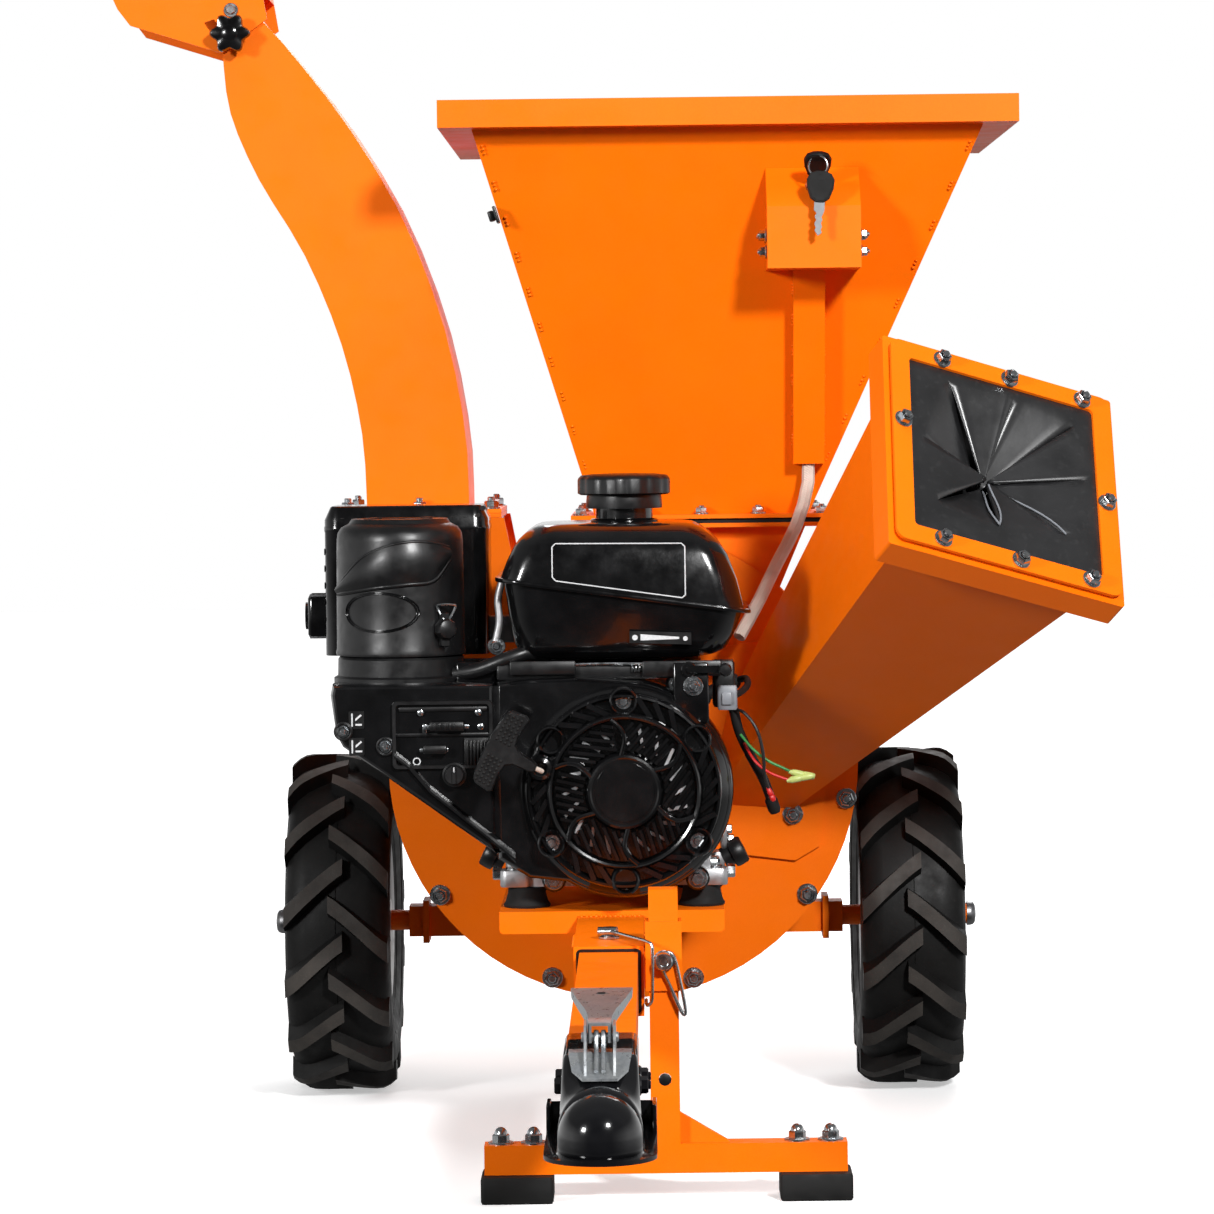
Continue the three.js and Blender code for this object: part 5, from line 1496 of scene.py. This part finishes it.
# ---- engine: block sides ------------------------------------------------------------------------
casting = Shape()
for k in range(8):
    z = 356 + k * 10.5
    casting.box((-100, -352, z), (58, -236, z + 3.2), 1.0)
casting.box((-70, -346, 430), (40, -242, 447), 4)
for side, x in ((-1, -107), (1, 91)):
    place = facing((x, -300, 300), (side, 0, 0))
    casting.plate(rounded(-62, 62, -34, 34, 14), 0, 5, place, 1.5)
    casting.turned(solid((21, 0), (21, 7), (18, 9)), facing((x, -250, 318), (side, 0, 0)), 32)
casting.turned(solid((60, 0), (60, 12), (56, 15), (30, 17)), facing((ENGINE_X, -207, SHAFT_Z), BACK), 48)
make("engine_casting", casting, ALLOY)
side_bolts = Shape()
for side, x in ((-1, -112), (1, 96)):
    for y, z in ((-352, 278), (-352, 322), (-300, 328), (-300, 272), (-248, 278)):
        add_bolt(side_bolts, facing((x, y, z), (side, 0, 0)), 8, 5, 6.5, 0, 12)
make("crankcase_bolts", side_bolts, ZINC)
oil = Shape()
for side, x in ((-1, -112), (1, 96)):
    tilt = facing((x, -352, 262), (side, 0, 0.5))
    oil.turned(solid((10, -4), (10, 4), (13, 5), (13.6, 8), (13, 16), (11.5, 17.6), top=18), tilt, 10)
make("oil_caps", oil, SATIN)
plug = Shape()
plug.turned(solid((9, 0), (9, 10), (6.5, 12), (6.5, 26), (8, 27), (8, 40), (5, 44)),
    facing((70, -300, 404), (0.9, 0, 0.42)), 20)
make("spark_plug_cap", plug, RUBBER)
plug_lead = Shape()
plug_lead.tube(smooth_path([(108, -300, 421), (116, -318, 424), (117, -350, 420), (111, -384, 416),
    (104, -404, 414)], 6), 3.2, 10)
make("spark_plug_lead", plug_lead, RUBBER)

# ---- tow gear -----------------------------------------------------------------------------------
TOW_X = -11
TOW_TOP = 215.5


def channel_row(y, half, top, corner, bottom):
    """One cross-section of the pressed coupler shell, from its left skirt over to its right."""
    corner = min(corner, half)
    left = [(TOW_X - half, y, bottom), (TOW_X - half, y, (bottom + top - corner) / 2)]
    over = []
    for k in range(13):
        a = radians(180 - 7.5 * k)
        over.append((TOW_X - half + corner + corner * cos(a), y, top - corner + corner * sin(a)))
    mirrored = [(2 * TOW_X - x, yy, z) for x, yy, z in reversed(left + over)]
    return left + over + mirrored


def add_skin(shape, rows):
    """An open sheet through rows of equally many points."""
    count = len(rows[0])
    faces = []
    for r in range(len(rows) - 1):
        for i in range(count - 1):
            faces.append([r * count + i, r * count + i + 1, (r + 1) * count + i + 1, (r + 1) * count + i])
    return shape.put([p for row in rows for p in row], faces)


BALL_Y = -1358
rows = [channel_row(-1190, 27, TOW_TOP, 5, 158), channel_row(-1226, 27, TOW_TOP, 5, 153),
    channel_row(-1292, 27, TOW_TOP, 5, 152), channel_row(-1300, 27, TOW_TOP - 0.6, 6, 152),
    channel_row(-1306, 27.4, TOW_TOP - 4, 10, 152), channel_row(-1312, 28, 206, 16, 152),
    channel_row(-1320, 29, 200, 24, 152), channel_row(-1332, 30, 197, 30, 152),
    channel_row(BALL_Y, 30, 196, 30, 152)]
shell = Shape()
add_skin(shell, rows)
dome = []
for k in range(25):
    a = radians(180 + 7.5 * k)
    x, y = cos(a), sin(a)
    column = [(TOW_X + 30 * x, BALL_Y + 30 * y, z) for z in (152, 160)]
    for j in range(13):
        lift = radians(7.5 * j)
        r = 30 * cos(lift)
        column.append((TOW_X + r * x, BALL_Y + r * y, 166 + 30 * sin(lift)))
    dome.append(column)
add_skin(shell, dome)
coupler_shell = make("coupler_shell", shell, COUPLER, sharp=50, replaces=["coupler"])
wall = coupler_shell.modifiers.new("wall", "SOLIDIFY")
wall.thickness = 2.6 * MM
wall.offset = 1
SKIRT_IN = 28
SKIRT_OUT = 40
straight = [-1232 - k * 16 for k in range(8)]
half_turn = [radians(180 + 7.5 * k) for k in range(25)]
inner_line = [(TOW_X - SKIRT_IN, y) for y in straight]
inner_line += [(TOW_X + SKIRT_IN * cos(a), BALL_Y + SKIRT_IN * sin(a)) for a in half_turn]
inner_line += [(TOW_X + SKIRT_IN, y) for y in reversed(straight)]
outer_line = [(TOW_X - SKIRT_OUT, y) for y in straight]
outer_line += [(TOW_X + SKIRT_OUT * cos(a), BALL_Y + 6 + SKIRT_OUT * sin(a)) for a in half_turn]
outer_line += [(TOW_X + SKIRT_OUT, y) for y in reversed(straight)]
skirt = Shape()
bands = []
for (ix, iy), (ox, oy) in zip(inner_line, outer_line):
    mx, my = (ix * 3 + ox) / 4, (iy * 3 + oy) / 4
    upper_side = [(ix, iy, 158), (mx, my, 154.4), (ox, oy, 153.2)]
    bands.append(upper_side + [(ox, oy, 150.2), (mx, my, 150.6), (ix, iy, 151)])
skirt.loft(bands)
for side in (-1, 1):
    low, high = sorted((TOW_X + side * 39.8, TOW_X + side * 36.6))
    skirt.box((low, -1268, 151), (high, -1232, 174), 0.8)
    skirt.box((min(low, TOW_X + side * 27), -1235, 151), (max(high, TOW_X + side * 27), -1232, 172), 0.8)
coupler_bolts = Shape()
for y in (-1210, -1252):
    for side, stud in ((1, 2), (-1, 0)):
        boss = facing((TOW_X + side * 27, y, 186), (side, 0, 0))
        skirt.turned(solid((8, 0), (8, 1), (7, 2)), boss, 20)
        add_bolt(coupler_bolts, boss @ Matrix.Translation((0, 0, 2)), 11, 5, 0, stud, 20)
make("coupler_skirt", skirt, COUPLER, sharp=40)
make("coupler_bolts", coupler_bolts, COUPLER)

PIVOT_Y = -1296
PIVOT_Z = 227
bracket = Shape()
PLATE_T = 1.8
PLATE_ROWS = ((-1288, 22.5, 215.7), (-1304, 22.5, 215.4), (-1317, 20, 205.0), (-1327, 12.5, 199.8))
plate_rings = []
for y, half, z in PLATE_ROWS:
    under = [(TOW_X - half, y, z), (TOW_X + half, y, z)]
    plate_rings.append(under + [(TOW_X + half, y, z + PLATE_T), (TOW_X - half, y, z + PLATE_T)])
bracket.loft(plate_rings)
for side in (-1, 1):
    low, high = sorted((TOW_X + side * 11.4, TOW_X + side * 9.5))
    cheek = [(-1324, 203), (-1304, 216.4), (-1272, 215.6), (-1272, 230), (-1288, 238), (-1303, 236),
        (-1312, 226), (-1322, 210)]
    bracket.loft([[(low, y, z) for y, z in cheek], [(high, y, z) for y, z in cheek]])
bracket.tube([(TOW_X - 13, PIVOT_Y, PIVOT_Z), (TOW_X + 13, PIVOT_Y, PIVOT_Z)], 3.2, 16)
for side in (-1, 1):
    pivot_end = facing((TOW_X + side * 11.4, PIVOT_Y, PIVOT_Z), (side, 0, 0))
    bracket.turned(solid((3.6, 0), (3.6, 1.2), (3, 2)), pivot_end, 20)
for side in (-1, 1):
    hook = [(-1323, 206), (-1316, 211.6), (-1308, 216.8), (-1304, 222), (-1302, 228), (-1299, 231.5)]
    bracket.tube(smooth_path([(TOW_X + side * 2.6, y, z) for y, z in hook], 5), 1.8, 10)
make("latch_bracket", bracket, ZINC_SHEET, sharp=30, replaces=["lever_bracket"])

lever = Shape()


def lever_row(y, half, z, drop):
    return [(TOW_X - half, y, z - drop), (TOW_X - half, y, z), (TOW_X + half, y, z),
        (TOW_X + half, y, z - drop), (TOW_X + half - 1.8, y, z - drop), (TOW_X + half - 1.8, y, z - 2),
        (TOW_X - half + 1.8, y, z - 2), (TOW_X - half + 1.8, y, z - drop)]


lever.loft([lever_row(-1306, 7.6, 238, 14), lever_row(-1300, 8.4, 240, 17),
    lever_row(-1284, 8.6, 240, 17), lever_row(-1262, 9.5, 239.6, 12), lever_row(-1240, 11.5, 240, 9),
    lever_row(-1205, 17, 241.5, 7), lever_row(-1166, 22.5, 244, 6), lever_row(-1160, 23, 244.8, 3)])
lever.turned(solid((3, 0), (3, 0.6)), facing((TOW_X, -1180, 243.2), UP), 12, 1)
make("latch_lever_plate", lever, [ZINC_SHEET, RUBBER], "latch_lever", sharp=30,
    replaces=["coupler_lever"])

hitch = Shape()
hitch.tube([(TOW_X, -598, 149), (TOW_X, -598, 226)], 6, 24)
hitch.turned(solid((9, 216.5), (9, 218)), facing((TOW_X, -598, 0), UP), 24)
hitch.tube([(TOW_X - 9, -599, 222), (TOW_X + 7, -603, 222.6)], 4.4, 16)
hitch.tube(smooth_path([(TOW_X + 2, -604, 223), (TOW_X + 16, -640, 223), (22, -680, 222.6),
    (26, -686, 220), (26.4, -687, 212), (26.2, -687, 190), (25.6, -686, 174), (22.5, -680, 168.5),
    (20.9, -664, 168), (20.8, -640, 168)], 6), 1.5, 10)
make("hitch_pin_wire", hitch, ZINC, "hitch_pin", sharp=40, replaces=["tow_pin"])

# A thin black ring closes the gap between the tongue and the receiver mouth: painted shade in the gap.
shade_ring_outer, shade_ring_inner = (rounded(TOW_X - h, TOW_X + h, 186 - h, 186 + h, 4) for h in (27.8, 25.3))
shade_ring_layers = ((shade_ring_outer, -655.1), (shade_ring_outer, -655.7), (shade_ring_inner, -655.7), (shade_ring_inner, -655.1))
gap_shade_ring = Shape()
gap_shade_ring.loft([[(x, y, z) for x, z in line] for line, y in shade_ring_layers], closed=True)
make("receiver_gap_painted_shade", gap_shade_ring, SATIN)

STAND_X = 36
stand_pin = Shape()
pin_place = facing((STAND_X, -665, 205), FRONT)
stand_pin.turned(solid((5, 0), (5, 4), (9, 4), (9, 5.6), (7.6, 6), (7.6, 14.4), (6.6, 15.6),
    (4.2, 15.6), (3.6, 14.2)), pin_place, 28)
triangle = [(29, -670.5, 209), (43, -670.5, 211), (50, -670.5, 186), (54, -670.5, 163),
    (51, -670.5, 161), (40, -670.5, 186), (29, -670.5, 209)]
stand_pin.tube(smooth_path(triangle, 5), 1.6, 10)
make("stand_pin_head", stand_pin, ZINC, "stand_lock_pin", sharp=40, replaces=["stand_pin"])
acorns = Shape()
for x in (-105, -77, 148.5, 177):
    add_acorn(acorns, facing((x, -652, 48), UP), 13)
make("stand_acorn_nuts", acorns, ZINC, "parking_stand")
spare = Shape()
spare.turned(solid((5.2, -1), (5.2, 0.3), (4.6, 0.6)), facing((STAND_X, -664.2, 103), FRONT), 20)
make("stand_hole_plug", spare, SATIN, "parking_stand")
for word, x in (("left", -91), ("right", 164)):
    pad = Shape()
    pad.box((x - 31, -678, 0), (x + 31, -626, 22.7), 2.2, None, 0, 3.5)
    make("stand_pad_" + word, pad, RUBBER, "parking_stand", replaces=["foot_pad_" + word])

welds = Shape()
for x in (-106, -70, 54, 86):
    add_weld(welds, (x, -137, 218), (x + 12, -137, 218), 1.8)
add_weld(welds, (TOW_X - 26, -424.6, 216), (TOW_X + 26, -424.6, 216), 2.0)
add_weld(welds, (24, -664.8, 179), (48, -664.8, 179), 1.6)
for side in (-1, 1):
    add_weld(welds, (TOW_X + side * 30.5, -640, 214), (TOW_X + side * 30.5, -560, 214), 1.5)
make("tow_welds", welds, ORANGE, sharp=60)
